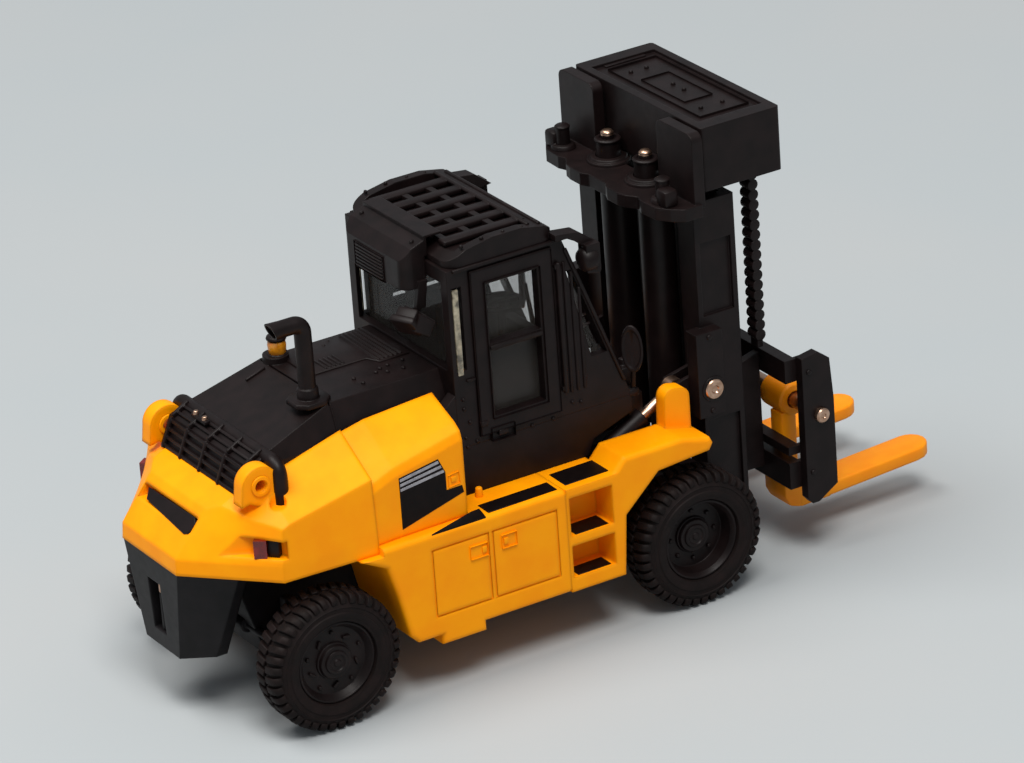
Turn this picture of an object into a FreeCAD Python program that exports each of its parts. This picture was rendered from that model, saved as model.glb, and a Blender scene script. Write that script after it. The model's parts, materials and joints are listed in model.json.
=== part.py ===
"""Toy forklift: heavy truck with cab, two-stage mast and adjustable forks (millimetres).

X points forward to the forks, Y to the left, Z up; the origin is on the ground below the
middle of the model. Every size sits in the spreadsheet "Sizes" and drives sketches,
pads and placements through expressions.
"""
import FreeCAD, Part
import Sketcher
import math
import os

SIZES = {
    # wheels and axles
    "tyre_radius": 6.5, "tyre_width": 3.95, "tyre_outer": 13.85, "tyre_round": 0.9,
    "rim_radius": 3.85, "rim_lip": 0.35, "hub_radius": 1.5, "rim_dish": 1.5, "axle_radius": 0.9,
    "front_axle_x": 9.4, "rear_axle_x": -28.7, "bore_play": 0.06, "housing_radius": 2.3,
    "wheel_play": 0.35,
    # chassis and lower body
    "chassis_half": 5.2, "chassis_bottom": 5.4, "chassis_rear": -33.3, "chassis_front": 8.6,
    "nose_front": 15.4, "nose_half": 4.2, "tank_top": 15.7, "body_half": 13.5, "sill": 5.65,
    "tank_rear": -20.3, "tank_front": -4.5, "foot_depth": 0.95, "steps_front": 0.6,
    "step_side": 0.3, "step_depth": 3.0, "tread": 0.9, "tread_low": 7.0, "tread_mid": 11.0,
    "door_groove": 0.18, "groove_depth": 0.15, "soft_edge": 0.45, "cover_edge": 1.0,
    # counterweight and covers
    "rear_x": -39.2, "cw_bottom": 15.0, "cw_rear_half": 4.9, "cw_corner_x": -32.5,
    "cw_corner_half": 12.3, "cw_front": -23.2, "cw_front_half": 12.7, "cw_lean_z": 16.5,
    "cw_top_z": 21.5, "cw_top_rear": -34.9, "slot_half": 4.8, "slot_low": 18.5,
    "slot_high": 19.6, "slot_floor": -33.9, "lamp_low": 17.1, "lamp_high": 18.8,
    "lower_bottom": 6.0, "lower_half": 3.05, "lower_flank": 4.8, "tow_half": 1.1,
    "tow_low": 7.6, "tow_high": 12.6, "tow_depth": 1.8, "tow_pin": 0.45,
    "cover_front": -13.8, "cover_half": 12.25, "seam_x": -20.9, "seam": 0.18,
    "lug_x": -32.3, "lug_y": 8.3, "lug_z": 23.05, "lug_plate": 1.5, "lug_radius": 1.8,
    "lug_hole": 0.55,
    # hood
    "hood_half": 7.4, "hood_top": 27.3, "hood_top_half": 6.1, "hood_rear": -33.3,
    "grille_low": 21.4, "grille_high": 24.0, "hood_split": -23.3, "hood_shoulder": 24.0,
    "guard_radius": 0.75, "guard_x": -31.2, "guard_z": 25.4, "guard_half": 9.9, "guard_foot": 20.9,
    "ridge_x": -30.5, "ridge_z": 24.9, "exhaust_x": -24.5,
    "exhaust_y": -4.5, "exhaust_radius": 0.75, "exhaust_top": 35.3, "exhaust_tip": -27.9,
    "beacon_x": -22.4, "beacon_y": 4.9, "beacon_radius": 1.0, "beacon_height": 2.6, "beacon_foot": 0.6,
    # fenders
    "fender_inner": 9.3, "fender_top": 17.0, "fender_tip": 11.3, "fender_tip_z": 15.6,
    "horn_x": 9.3, "horn_width": 2.8, "horn_thick": 1.4, "horn_top": 20.9,
    # cab
    "steer_x": -1.9, "steer_z": 28.4, "steer_radius": 2.1,
    "cab_half": 8.7, "cab_rear": -12.2, "cab_foot": 5.9, "cab_brow": -0.4, "base_top": 20.3,
    "cab_top": 37.3, "cab_wall": 0.8, "roof_top": 39.0, "roof_front": -0.8, "roof_rim": 1.0,
    "roof_recess": 0.5, "roof_inset": 0.3,
    "grille_row": 2.4, "grille_column": 2.5, "grille_bar": 0.6, "cowl_front": 7.8,
    "cowl_half": 6.8, "cowl_top": 20.3, "dash_half": 5.5,
    "door_rear": -10.0, "door_front": -1.5, "door_low": 20.9, "door_high": 36.8,
    "door_proud": 0.2, "pane_rear": -8.4, "pane_front": -3.1, "pane_low": 22.5,
    "pane_split": 29.1, "pane_high": 35.2, "glass": 0.35, "window_low": 22.2,
    "window_high": 36.0, "rear_glass_low": 27.6,
    "ac_rear": -14.5, "ac_half": 5.2, "ac_low": 34.9, "ac_high": 39.2, "ac_front": -10.4,
    "lamp_x": 2.0, "lamp_y": 9.5, "lamp_z": 34.9, "lamp_half": 0.7, "work_lamp_y": -6.1,
    # mast
    "pivot_x": 13.6, "pivot_z": 7.1, "pivot_radius": 0.95, "rail_rear": 12.9, "rail_front": 17.2,
    "tyre_gap": 0.3, "rail_inner": 6.9, "rail_low": 5.2, "rail_high": 37.1, "rail_web": 0.8,
    "rail_flange": 0.75, "rail_panel": 0.35, "inner_play": 0.15, "inner_low": 8.6,
    "inner_inside": 5.9, "box_rear": 13.7, "box_front": 22.1, "box_half": 10.4, "box_low": 38.25,
    "box_high": 44.3, "box_margin": 0.8, "box_recess": 0.3, "shelf_rear": 8.6,
    "shelf_half": 11.3, "shelf_low": 36.4, "shelf_high": 37.6, "ear_x": 12.3, "ear_thick": 1.1,
    "ear_inner": 5.2, "ear_outer": 11.0, "ear_high": 44.2, "lift_x": 13.05, "lift_y": 3.15,
    "lift_radius": 1.6, "lift_low": 11.2, "boss_high": 40.3, "boss_x": 12.3, "boss_radius": 1.1,
    "post_x": 10.7, "post_y": 8.3, "post_radius": 0.65, "post_high": 39.8,
    "chain_x": 19.95, "chain_y": 8.0, "chain_wide": 1.1, "chain_thick": 0.95, "chain_low": 19.0,
    "chain_pitch": 1.95, "bracket_high": 25.0, "bracket_low": 16.8, "bracket_rear": 11.7,
    "bracket_front": 14.5, "bracket_outer": 10.8,
    # tilt cylinders
    "tilt_y": 8.05, "tilt_front_x": 10.7, "tilt_front_z": 19.3, "tilt_rear_x": 2.4,
    "tilt_rear_z": 15.0, "barrel_radius": 0.9, "rod_radius": 0.5, "pin_radius": 0.45,
    "eye_radius": 1.0, "eye_play": 0.08, "eye_half": 0.55, "cheek": 0.4,
    # carriage and forks
    "plate_inner": 10.9, "plate_outer": 11.9, "plate_rear": 22.1, "plate_front": 25.4,
    "plate_top": 20.3, "plate_bottom": 5.5, "shaft_x": 23.9, "shaft_z": 14.1,
    "shaft_radius": 0.7, "beam_front": 22.1, "beam_rear": 20.9, "beam_top": 20.0,
    "beam_low": 17.6, "bar_top": 9.6, "bar_low": 7.0, "roller_inner": 5.9, "roller_outer": 6.7,
    "roller_rear": 17.3, "fork_y": 5.95, "fork_width": 3.5, "fork_low": 3.1, "fork_thick": 1.3,
    "fork_tip": 39.2, "fork_rise": 0.8, "shank_rear": 22.3, "shank_front": 24.0,
    "fork_play": 0.1,
}

doc = FreeCAD.newDocument("toy_forklift")
sheet = doc.addObject("Spreadsheet::Sheet", "Sizes")


class Size:
    """A number together with the spreadsheet expression that drives it."""

    def __init__(self, value, text):
        self.value = float(value)
        self.text = text

    def __add__(self, other):
        return combine(self, "+", other)

    def __radd__(self, other):
        return combine(other, "+", self)

    def __sub__(self, other):
        return combine(self, "-", other)

    def __rsub__(self, other):
        return combine(other, "-", self)

    def __mul__(self, other):
        return combine(self, "*", other)

    def __rmul__(self, other):
        return combine(other, "*", self)

    def __truediv__(self, other):
        return combine(self, "/", other)

    def __neg__(self):
        return combine(0, "-", self)


def size(number):
    """Wrap a plain number, and leave a Size as it is."""
    return number if isinstance(number, Size) else Size(number, repr(float(number)))


def combine(first, sign, second):
    """Join two sizes into a new one."""
    first, second = size(first), size(second)
    value = {"+": first.value + second.value, "-": first.value - second.value,
             "*": first.value * second.value}.get(sign)
    if sign == "/":
        value = first.value / second.value
    return Size(value, f"({first.text} {sign} {second.text})")


class Names:
    """Each alias of the sheet as an attribute."""


s = Names()
for row, (alias, number) in enumerate(SIZES.items(), start=1):
    sheet.set(f"A{row}", str(number))
    sheet.setAlias(f"A{row}", alias)
    setattr(s, alias, Size(number, f"Sizes.{alias}"))
s.rail_outer = s.tyre_outer - s.tyre_width - s.tyre_gap
doc.recompute()

nodes = []
BOTH = (("right", -1), ("left", 1))
PLANES = {"XY": ("XY_Plane", 1), "XZ": ("XZ_Plane", -1), "YZ": ("YZ_Plane", 1)}


def bind(thing, prop, length):
    """Drive a property by the expression of a size."""
    thing.setExpression(prop, size(length).text)


def new_body(label):
    """An empty body; its label names the node and its file."""
    body = doc.addObject("PartDesign::Body", label)
    body.Label = label
    nodes.append(body)
    return body


def sketch_on(body, plane, height):
    """A sketch on an origin plane of the body, moved along the plane's axis."""
    role, sign = PLANES[plane]
    sketch = body.newObject("Sketcher::SketchObject", body.Name + "_sketch")
    origin = [item for item in body.Origin.OriginFeatures if item.Role == role][0]
    sketch.AttachmentSupport = [(origin, "")]
    sketch.MapMode = "FlatFace"
    bind(sketch, "AttachmentOffset.Base.z", sign * size(height))
    return sketch


def hold(sketch, kind, refs, length):
    """A driven dimension of a sketch."""
    index = sketch.addConstraint(Sketcher.Constraint(kind, *refs, size(length).value))
    sketch.setExpression(f"Constraints[{index}]", size(length).text)


def draw_polygon(sketch, corners):
    """A closed outline; each corner is held by its two distances from the origin."""
    first = sketch.GeometryCount
    count = len(corners)
    spots = [FreeCAD.Vector(size(u).value, size(v).value, 0) for u, v in corners]
    for index in range(count):
        sketch.addGeometry(Part.LineSegment(spots[index], spots[(index + 1) % count]), False)
    for index in range(count):
        after = first + (index + 1) % count
        sketch.addConstraint(Sketcher.Constraint("Coincident", first + index, 2, after, 1))
    for index, (u, v) in enumerate(corners):
        hold(sketch, "DistanceX", (-1, 1, first + index, 1), u)
        hold(sketch, "DistanceY", (-1, 1, first + index, 1), v)


def draw_circle(sketch, centre, radius):
    """A circle held by its centre and radius."""
    u, v = centre
    middle = FreeCAD.Vector(size(u).value, size(v).value, 0)
    index = sketch.addGeometry(Part.Circle(middle, FreeCAD.Vector(0, 0, 1), size(radius).value))
    hold(sketch, "DistanceX", (-1, 1, index, 3), u)
    hold(sketch, "DistanceY", (-1, 1, index, 3), v)
    hold(sketch, "Radius", (index,), radius)


def draw(sketch, shapes):
    """Outlines are lists of corners; circles are (centre, radius) pairs."""
    for shape in shapes:
        if isinstance(shape, tuple):
            draw_circle(sketch, *shape)
        else:
            draw_polygon(sketch, shape)


def pad(body, plane, shapes, low, high):
    """Raise closed outlines from low to high along the plane's axis."""
    start = low if PLANES[plane][1] > 0 else high
    sketch = sketch_on(body, plane, start)
    draw(sketch, shapes)
    feature = body.newObject("PartDesign::Pad", body.Name + "_pad")
    feature.Profile = sketch
    bind(feature, "Length", size(high) - low)
    return feature


def pocket(body, plane, shapes, low, high):
    """Cut closed outlines out from low to high along the plane's axis."""
    start = high if PLANES[plane][1] > 0 else low
    sketch = sketch_on(body, plane, start)
    draw(sketch, shapes)
    feature = body.newObject("PartDesign::Pocket", body.Name + "_pocket")
    feature.Profile = sketch
    bind(feature, "Length", size(high) - low)
    return feature


def loft(body, plane, sections):
    """A straight-sided loft through outlines given as (height, corners)."""
    sketches = []
    for height, corners in sections:
        sketch = sketch_on(body, plane, height)
        draw_polygon(sketch, corners)
        sketches.append(sketch)
    feature = body.newObject("PartDesign::AdditiveLoft", body.Name + "_loft")
    feature.Profile = sketches[0]
    feature.Sections = sketches[1:]
    feature.Ruled = True
    return feature


def round_edges(body, radius, wanted):
    """Fillet the edges of the body's tip that the test picks."""
    doc.recompute()
    tip = body.Tip
    names = [f"Edge{number}" for number, edge in enumerate(tip.Shape.Edges, start=1)
             if wanted(edge)]
    feature = body.newObject("PartDesign::Fillet", body.Name + "_round")
    feature.Base = (tip, names)
    bind(feature, "Radius", radius)
    return feature


def runs_along(edge, axis):
    """True for a straight edge along X, Y or Z."""
    box = edge.BoundBox
    lengths = {"X": box.XLength, "Y": box.YLength, "Z": box.ZLength}
    others = [length for name, length in lengths.items() if name != axis]
    return lengths[axis] > 1e-6 and max(others) < 1e-6


def on_side(edge, y):
    """True for an edge that lies in the plane of one Y."""
    return edge.BoundBox.YLength < 1e-6 and abs(edge.BoundBox.YMin - y) < 1e-6


def plate(label, plane, shapes, low, high):
    """A body made of one pad."""
    body = new_body(label)
    pad(body, plane, shapes, low, high)
    return body


def rectangle(low_u, high_u, low_v, high_v):
    return [(low_u, low_v), (high_u, low_v), (high_u, high_v), (low_u, high_v)]


def mirrored(corners):
    """Corners on the left side, then the same ones on the right in reverse."""
    return corners + [(u, -size(v)) for u, v in reversed(corners)]


def mirrored_across(corners):
    """The same for an outline whose first number is the distance from the middle."""
    return corners + [(-size(u), v) for u, v in reversed(corners)]


def span(side, inner, outer):
    """The low and high Y of a stretch that lies inner to outer from the middle."""
    return (size(inner), size(outer)) if side > 0 else (-size(outer), -size(inner))


# ---------------------------------------------------------------- chassis and axles

def chassis():
    """Centre frame with axle tubes, the nose that carries the mast and the tilt cylinder pins."""
    body = new_body("chassis_frame")
    outline = [
        (s.chassis_rear, s.tank_top), (s.chassis_rear, s.chassis_bottom + 6),
        (s.chassis_rear + 2, s.chassis_bottom - 0.6), (s.rear_axle_x + 3.4, s.chassis_bottom - 0.6),
        (s.rear_axle_x + 4.4, s.chassis_bottom), (s.front_axle_x - 4.4, s.chassis_bottom),
        (s.front_axle_x - 3.4, s.chassis_bottom - 0.6), (s.chassis_front, s.chassis_bottom - 0.6),
        (s.chassis_front, s.tank_top)]
    pad(body, "XZ", [outline], -s.chassis_half, s.chassis_half)
    nose = [
        (s.chassis_front - 1, s.chassis_bottom - 0.6), (s.front_axle_x + 2, s.chassis_bottom - 0.9),
        (s.nose_front, s.pivot_z - 1.6), (s.nose_front, s.pivot_z + 1.5),
        (s.front_axle_x + 2, s.pivot_z + 1.9), (s.chassis_front - 1, s.pivot_z + 1.9)]
    pad(body, "XZ", [nose], -s.nose_half, s.nose_half)
    reach = s.tyre_outer - s.tyre_width - s.wheel_play
    for axle_x in (s.front_axle_x, s.rear_axle_x):
        pad(body, "XZ", [((axle_x, s.tyre_radius), s.housing_radius)], -reach, reach)
    pad(body, "XZ", [((s.tilt_rear_x, s.tilt_rear_z), s.pin_radius)],
        -s.fender_inner, s.fender_inner)
    for axle_x in (s.front_axle_x, s.rear_axle_x):
        pocket(body, "XZ", [((axle_x, s.tyre_radius), s.axle_radius + s.bore_play)],
               -reach - 1, reach + 1)
    pocket(body, "XZ", [((s.pivot_x, s.pivot_z), s.pivot_radius + s.bore_play)],
           -s.nose_half - 1, s.nose_half + 1)
    return body


def wheel_set(name, axle_x, dish):
    """Axle, two rims and two tyres that turn together."""
    axle = new_body(f"{name}_axle")
    reach = s.tyre_outer - s.rim_dish - 0.6
    pad(axle, "XZ", [((axle_x, s.tyre_radius), s.axle_radius)], -reach, reach)
    for word, side in BOTH:
        rim_body(f"{word}_{name}_rim", side, axle_x, dish)
        tyre_body(f"{word}_{name}_tyre", side, axle_x)


def revolve_about_y(body, corners, axle_x):
    """Turn an outline of (Y, radius) corners about the wheel axis."""
    sketch = sketch_on(body, "YZ", 0)
    draw_polygon(sketch, corners)
    feature = body.newObject("PartDesign::Revolution", body.Name + "_turned")
    feature.Profile = sketch
    feature.ReferenceAxis = (sketch, ["H_Axis"])
    feature.Angle = 360
    bind(body, "Placement.Base.x", axle_x)
    bind(body, "Placement.Base.z", s.tyre_radius)


def rim_body(label, side, axle_x, dish):
    """Pressed rim: outer lip, a dished disc and a hub that sits on the axle."""
    body = new_body(label)
    inner = s.tyre_outer - s.tyre_width
    lip = s.tyre_outer - 0.55
    disc = lip - dish
    corners = [
        (inner + 0.4, s.axle_radius), (disc + 0.55, s.axle_radius), (disc + 0.55, s.hub_radius),
        (disc, s.hub_radius + 0.2), (disc, s.rim_radius - 2 * s.rim_lip),
        (lip, s.rim_radius - s.rim_lip), (lip, s.rim_radius), (inner + 0.4, s.rim_radius)]
    revolve_about_y(body, [(side * size(u), v) for u, v in corners], axle_x)
    return body


def tyre_body(label, side, axle_x):
    """Tyre with shoulder lugs cut round both shoulders."""
    body = new_body(label)
    outer = s.tyre_outer
    inner = s.tyre_outer - s.tyre_width
    corners = [
        (inner + 0.35, s.rim_radius), (outer - 0.45, s.rim_radius), (outer, s.rim_radius + 0.8),
        (outer, s.tyre_radius - s.tyre_round - 0.5), (outer - 0.25, s.tyre_radius - 0.3),
        (outer - 0.6, s.tyre_radius), (inner + 0.6, s.tyre_radius),
        (inner + 0.25, s.tyre_radius - 0.3), (inner, s.tyre_radius - s.tyre_round - 0.5),
        (inner, s.rim_radius + 0.8)]
    revolve_about_y(body, [(side * size(u), v) for u, v in corners], axle_x)
    return body


# ---------------------------------------------------------------- lower body

def tank(word, side):
    """Side tank under the cover, with the wheel arch edge, a foot and two door outlines."""
    body = new_body(f"{word}_tank")
    outline = [
        (s.tank_rear, s.sill), (s.tank_rear + 2.4, s.sill), (s.tank_rear + 2.4, s.sill - s.foot_depth),
        (s.tank_rear + 6.9, s.sill - s.foot_depth), (s.tank_rear + 6.9, s.sill),
        (s.tank_front, s.sill), (s.tank_front, s.tank_top), (s.cw_front, s.tank_top),
        (s.cw_front, s.cw_bottom), (s.cw_front - 2.2, s.cw_bottom), (s.tank_rear - 2.6, 13.7),
        (s.tank_rear - 1.7, 10.5), (s.tank_rear - 0.8, s.sill + 0.8)]
    low, high = span(side, s.chassis_half, s.body_half)
    pad(body, "XZ", [outline], low, high)
    front, rear = s.tank_front.value, s.cw_front.value
    round_edges(body, s.soft_edge, lambda edge: on_side(edge, side * s.body_half.value)
                and edge.BoundBox.XMin < front - 0.01 and abs(edge.BoundBox.XMax - rear) > 0.01)
    depth_low, depth_high = span(side, s.body_half - s.groove_depth, s.body_half)
    for rear, front in ((-18.5, -12.6), (-12.3, -5.5)):
        frame = rectangle(rear, front, 7.6, 14.2)
        inside = rectangle(rear + s.door_groove, front - s.door_groove,
                           7.6 + s.door_groove, 14.2 - s.door_groove)
        pocket(body, "XZ", [frame, inside], depth_low, depth_high)
    return body


def fender(word, side):
    """Boarding steps and the fender over the front wheel, with its rounded upright horn."""
    body = new_body(f"{word}_fender")
    low, high = span(side, s.chassis_half, s.body_half)
    pad(body, "XZ", [rectangle(s.tank_front, s.steps_front, s.sill, s.tank_top)], low, high)
    outline = [
        (s.steps_front - 0.1, s.sill), (s.steps_front + 0.6, s.sill), (s.steps_front + 1.0, 11.1),
        (s.front_axle_x - 4.0, 14.5), (s.fender_tip - 0.4, 14.9), (s.fender_tip, s.fender_tip_z),
        (s.fender_tip - 0.3, s.fender_tip_z + 0.6), (s.horn_x - 1.4, s.fender_top),
        (s.steps_front + 1.2, s.fender_top), (s.steps_front - 0.1, s.tank_top - 0.1)]
    low, high = span(side, s.fender_inner, s.body_half)
    pad(body, "XZ", [outline], low, high)
    join = s.steps_front.value + 0.5
    round_edges(body, s.soft_edge, lambda edge: on_side(edge, side * s.body_half.value)
                and edge.BoundBox.XMax > join and edge.BoundBox.ZMin > s.sill.value + 0.01)
    rear = s.horn_x - s.horn_width / 2
    front = s.horn_x + s.horn_width / 2
    horn = [(rear, s.fender_top - 0.5), (front, s.fender_top - 1.0), (front, s.horn_top - 0.6),
            (rear + 0.2, s.horn_top)]
    low, high = span(side, s.fender_inner, s.fender_inner + s.horn_thick)
    pad(body, "XZ", [horn], low, high)
    crown = s.horn_top.value - 0.7
    round_edges(body, s.cover_edge, lambda edge: runs_along(edge, "Y")
                and edge.BoundBox.ZMin > crown)
    cut_low, cut_high = span(side, s.body_half - s.step_depth, s.body_half + 1)
    rear = s.tank_front + s.step_side
    front = s.steps_front - s.step_side
    notches = [rectangle(rear, front, s.tread_low, s.tread_mid - s.tread),
               rectangle(rear, front, s.tread_mid, s.tank_top - s.tread)]
    pocket(body, "XZ", notches, cut_low, cut_high)
    return body


# ---------------------------------------------------------------- counterweight and hood

def counterweight(guard):
    """Cast counterweight: leaning rear, angled corners, trough for the hood, guard bar sockets."""
    upper = doc.addObject("PartDesign::Body", "counterweight_shoulders")
    lift = [(s.rear_x - 0.2, 18.3, 16.6), (s.rear_x + 2.9, 20.2, 17.9),
            (s.hood_rear, 21.6, 18.7), (s.hood_rear + 1.8, 23.4, 19.3), (s.cw_front, 25.8, 21.1)]
    loft(upper, "YZ", [(x, mirrored_across([(14, s.cw_bottom), (14, outer), (6.2, inner)]))
                       for x, inner, outer in lift])
    lower = doc.addObject("PartDesign::Body", "counterweight_plan")
    plan = [(s.cw_bottom, s.rear_x, s.cw_corner_x, s.cw_corner_half, s.cw_front_half),
            (s.cw_lean_z, s.rear_x + 0.15, s.cw_corner_x, s.cw_corner_half, s.cw_front_half),
            (s.cw_top_z, s.cw_top_rear, s.cw_corner_x + 0.5, s.cw_corner_half - 0.2,
             s.cw_front_half - 0.3),
            (s.hood_top, s.cw_top_rear + 0.5, s.cw_corner_x + 0.6, s.cw_corner_half - 0.4,
             s.cw_front_half - 0.6)]
    loft(lower, "XY", [(z, mirrored([(s.cw_front, front), (corner, half), (rear, s.cw_rear_half)]))
                       for z, rear, corner, half, front in plan])
    common = doc.addObject("Part::Common", "counterweight_block")
    common.Base = upper
    common.Tool = lower
    cutter = doc.addObject("PartDesign::Body", "counterweight_cutter")
    pad(cutter, "XY", [rectangle(s.hood_rear, s.cw_front + 1, -s.hood_half, s.hood_half)],
        s.cw_bottom - 1, s.hood_top + 1)
    slot = doc.addObject("PartDesign::Body", "counterweight_slot")
    pad(slot, "YZ", [rectangle(-s.slot_half, s.slot_half, s.slot_low, s.slot_high)],
        s.rear_x - 1, s.slot_floor)
    tools = [cutter, slot, guard]
    for word, side in BOTH:
        recess = doc.addObject("PartDesign::Body", f"counterweight_{word}_recess")
        wedge = [(-37.6, 6.8), (-32.2, 12.9), (-31.6, 11.6), (-32.6, 9.9)]
        pad(recess, "XY", [[(x, side * size(y)) for x, y in wedge]], s.lamp_low, s.lamp_high)
        tools.append(recess)
    gathered = doc.addObject("Part::MultiFuse", "counterweight_tools")
    gathered.Shapes = tools
    solid = doc.addObject("Part::MultiFuse", "counterweight_with_lugs")
    solid.Shapes = [common] + [lifting_lug(word, side) for word, side in BOTH]
    part = doc.addObject("Part::Cut", "counterweight")
    part.Base = solid
    part.Tool = gathered
    part.Label = "counterweight"
    nodes.append(part)
    return part


def lifting_lug(word, side):
    """Rounded lifting eye on the shoulder beside the grille."""
    body = doc.addObject("PartDesign::Body", f"{word}_lifting_lug")
    low, high = span(side, s.lug_y - s.lug_plate / 2, s.lug_y + s.lug_plate / 2)
    pad(body, "XZ", [((s.lug_x, s.lug_z), s.lug_radius)], low, high)
    foot = [(s.lug_x - s.lug_radius, s.lug_z), (s.lug_x - s.lug_radius - 0.2, s.lug_z - 1.6),
            (s.lug_x + s.lug_radius + 0.6, s.lug_z - 0.6), (s.lug_x + s.lug_radius, s.lug_z)]
    pad(body, "XZ", [foot], low, high)
    pocket(body, "XZ", [((s.lug_x, s.lug_z), s.lug_hole)], low, high)
    return body


def lower_counterweight():
    """Dark block below the counterweight with the towing slot."""
    body = new_body("lower_counterweight")
    top = [(s.chassis_rear, 7.6), (s.chassis_rear - 0.9, 7.6), (s.rear_x + 0.1, s.cw_rear_half)]
    low = [(s.chassis_rear - 1.6, s.lower_flank), (s.chassis_rear - 2.7, s.lower_flank),
           (s.rear_x + 0.5, s.lower_half)]
    loft(body, "XY", [(s.lower_bottom, mirrored(low)), (s.cw_bottom, mirrored(top))])
    pocket(body, "YZ", [rectangle(-s.tow_half, s.tow_half, s.tow_low, s.tow_high)],
           s.rear_x - 1, s.rear_x + s.tow_depth)
    return body


def towing_pin():
    """Pin across the towing slot."""
    return plate("towing_pin", "XY", [((s.rear_x + 1.1, 0), s.tow_pin)], s.tow_low, s.tow_high)


def side_cover(word, side):
    """Yellow cover beside the hood, between the counterweight and the cab."""
    body = new_body(f"{word}_side_cover")
    cuts = [(s.cw_front, 24.9, 21.7, s.cw_front_half - 0.25),
            (s.seam_x, 25.4, 22.5, s.cover_half + 0.05),
            (s.cover_front, 25.9, 24.0, s.cover_half - 0.1)]
    sections = []
    for x, inner_z, outer_z, half in cuts:
        corners = [(s.hood_half, s.tank_top), (half, s.tank_top), (half, outer_z - s.cover_edge),
                   (half - 0.3 * s.cover_edge, outer_z - 0.2 * s.cover_edge),
                   (half - 1.1 * s.cover_edge, outer_z + 0.35 * s.cover_edge), (s.hood_half, inner_z)]
        sections.append((x, [(side * size(y), z) for y, z in corners]))
    loft(body, "YZ", sections)
    return body


def hood():
    """Engine hood: sloped shoulders and a falling rear end, split into two lids."""
    body = new_body("engine_hood")
    outline = mirrored_across([
        (s.hood_half, s.tank_top), (s.hood_half, s.hood_shoulder), (s.hood_top_half, s.hood_top)])
    pad(body, "YZ", [outline], s.hood_rear, s.cab_rear)
    fall = [(s.hood_rear - 1, s.hood_top + 1), (s.hood_rear - 1, s.grille_low - 1),
            (s.hood_rear, s.grille_low - 1), (s.hood_rear, s.grille_low),
            (s.hood_rear + 1.1, s.grille_high), (s.ridge_x, s.ridge_z),
            (s.hood_split, s.hood_top), (s.hood_split, s.hood_top + 1)]
    pocket(body, "XZ", [fall], -s.hood_half - 1, s.hood_half + 1)
    pocket(body, "XZ", [rectangle(s.hood_split - s.seam, s.hood_split, s.hood_top - 0.3,
                                  s.hood_top + 1)], -s.hood_half - 1, s.hood_half + 1)
    pad(body, "XY", [((s.beacon_x, s.beacon_y), s.beacon_radius + 0.2)], s.hood_top - 1,
        s.hood_top + s.beacon_foot)
    return body


def bent_bar(body, plane, height, corners, ring, radius):
    """Round bar swept along straight runs from a ring that stands on the first corner."""
    path = sketch_on(body, plane, height)
    runs = list(zip(corners, corners[1:]))
    for first, second in runs:
        start = FreeCAD.Vector(size(first[0]).value, size(first[1]).value, 0)
        end = FreeCAD.Vector(size(second[0]).value, size(second[1]).value, 0)
        path.addGeometry(Part.LineSegment(start, end), False)
    for index in range(len(runs) - 1):
        path.addConstraint(Sketcher.Constraint("Coincident", index, 2, index + 1, 1))
    for index, (u, v) in enumerate(corners):
        line, end = (index, 1) if index < len(runs) else (index - 1, 2)
        hold(path, "DistanceX", (-1, 1, line, end), u)
        hold(path, "DistanceY", (-1, 1, line, end), v)
    foot = sketch_on(body, "XY", corners[0][1])
    draw_circle(foot, ring, radius)
    feature = body.newObject("PartDesign::AdditivePipe", body.Name + "_pipe")
    feature.Profile = foot
    feature.Spine = (path, [f"Edge{number}" for number in range(1, len(runs) + 1)])
    feature.Transition = "Round corner"
    return feature


def guard_bar():
    """Bar over the grille that comes down in front of the lifting lugs."""
    body = new_body("grille_guard_bar")
    half = s.guard_half
    corners = [(-half, s.guard_foot), (-half + 0.2, s.guard_z), (half - 0.2, s.guard_z),
               (half, s.guard_foot)]
    bent_bar(body, "YZ", s.guard_x, corners, (s.guard_x, -half), s.guard_radius)
    return body


def exhaust():
    """Exhaust stack on an eight-sided flange, with an elbow that points to the rear."""
    body = new_body("exhaust_stack")
    x, y = s.exhaust_x, s.exhaust_y
    elbow = s.exhaust_top - s.exhaust_radius
    corners = [(x, s.hood_top), (x, elbow), (s.exhaust_tip, elbow + 0.2)]
    bent_bar(body, "XZ", y, corners, (x, y), s.exhaust_radius)
    flange = s.exhaust_radius + 1.0
    corner = 0.55 * flange
    outline = [(x - flange, y - corner), (x - corner, y - flange), (x + corner, y - flange),
               (x + flange, y - corner), (x + flange, y + corner), (x + corner, y + flange),
               (x - corner, y + flange), (x - flange, y + corner)]
    pad(body, "XY", [outline], s.hood_top, s.hood_top + 0.5)
    pad(body, "XY", [((x, y), s.exhaust_radius + 0.3)], s.hood_top, s.hood_top + 2.2)
    return body


def beacon():
    """Lens of the beacon on its round foot on the hood."""
    spot = (s.beacon_x, s.beacon_y)
    return plate("beacon_lens", "XY", [(spot, s.beacon_radius)], s.hood_top + s.beacon_foot,
                 s.hood_top + s.beacon_height)


def tail_lamp(word, side):
    """Tail lamp at the deep end of the recess in the corner of the counterweight."""
    corners = [(-33.6, 9.55), (-32.75, 10.25), (-33.3, 11.0), (-34.2, 10.3)]
    return plate(f"{word}_tail_lamp", "XY", [[(x, side * size(y)) for x, y in corners]],
                 s.lamp_low, s.lamp_high)


# ---------------------------------------------------------------- cab

def cab_slope(z):
    """X of the leaning front wall at a height."""
    return s.cab_foot + (s.cab_brow - s.cab_foot) * ((size(z) - s.base_top) / (s.cab_top - s.base_top))


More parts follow.
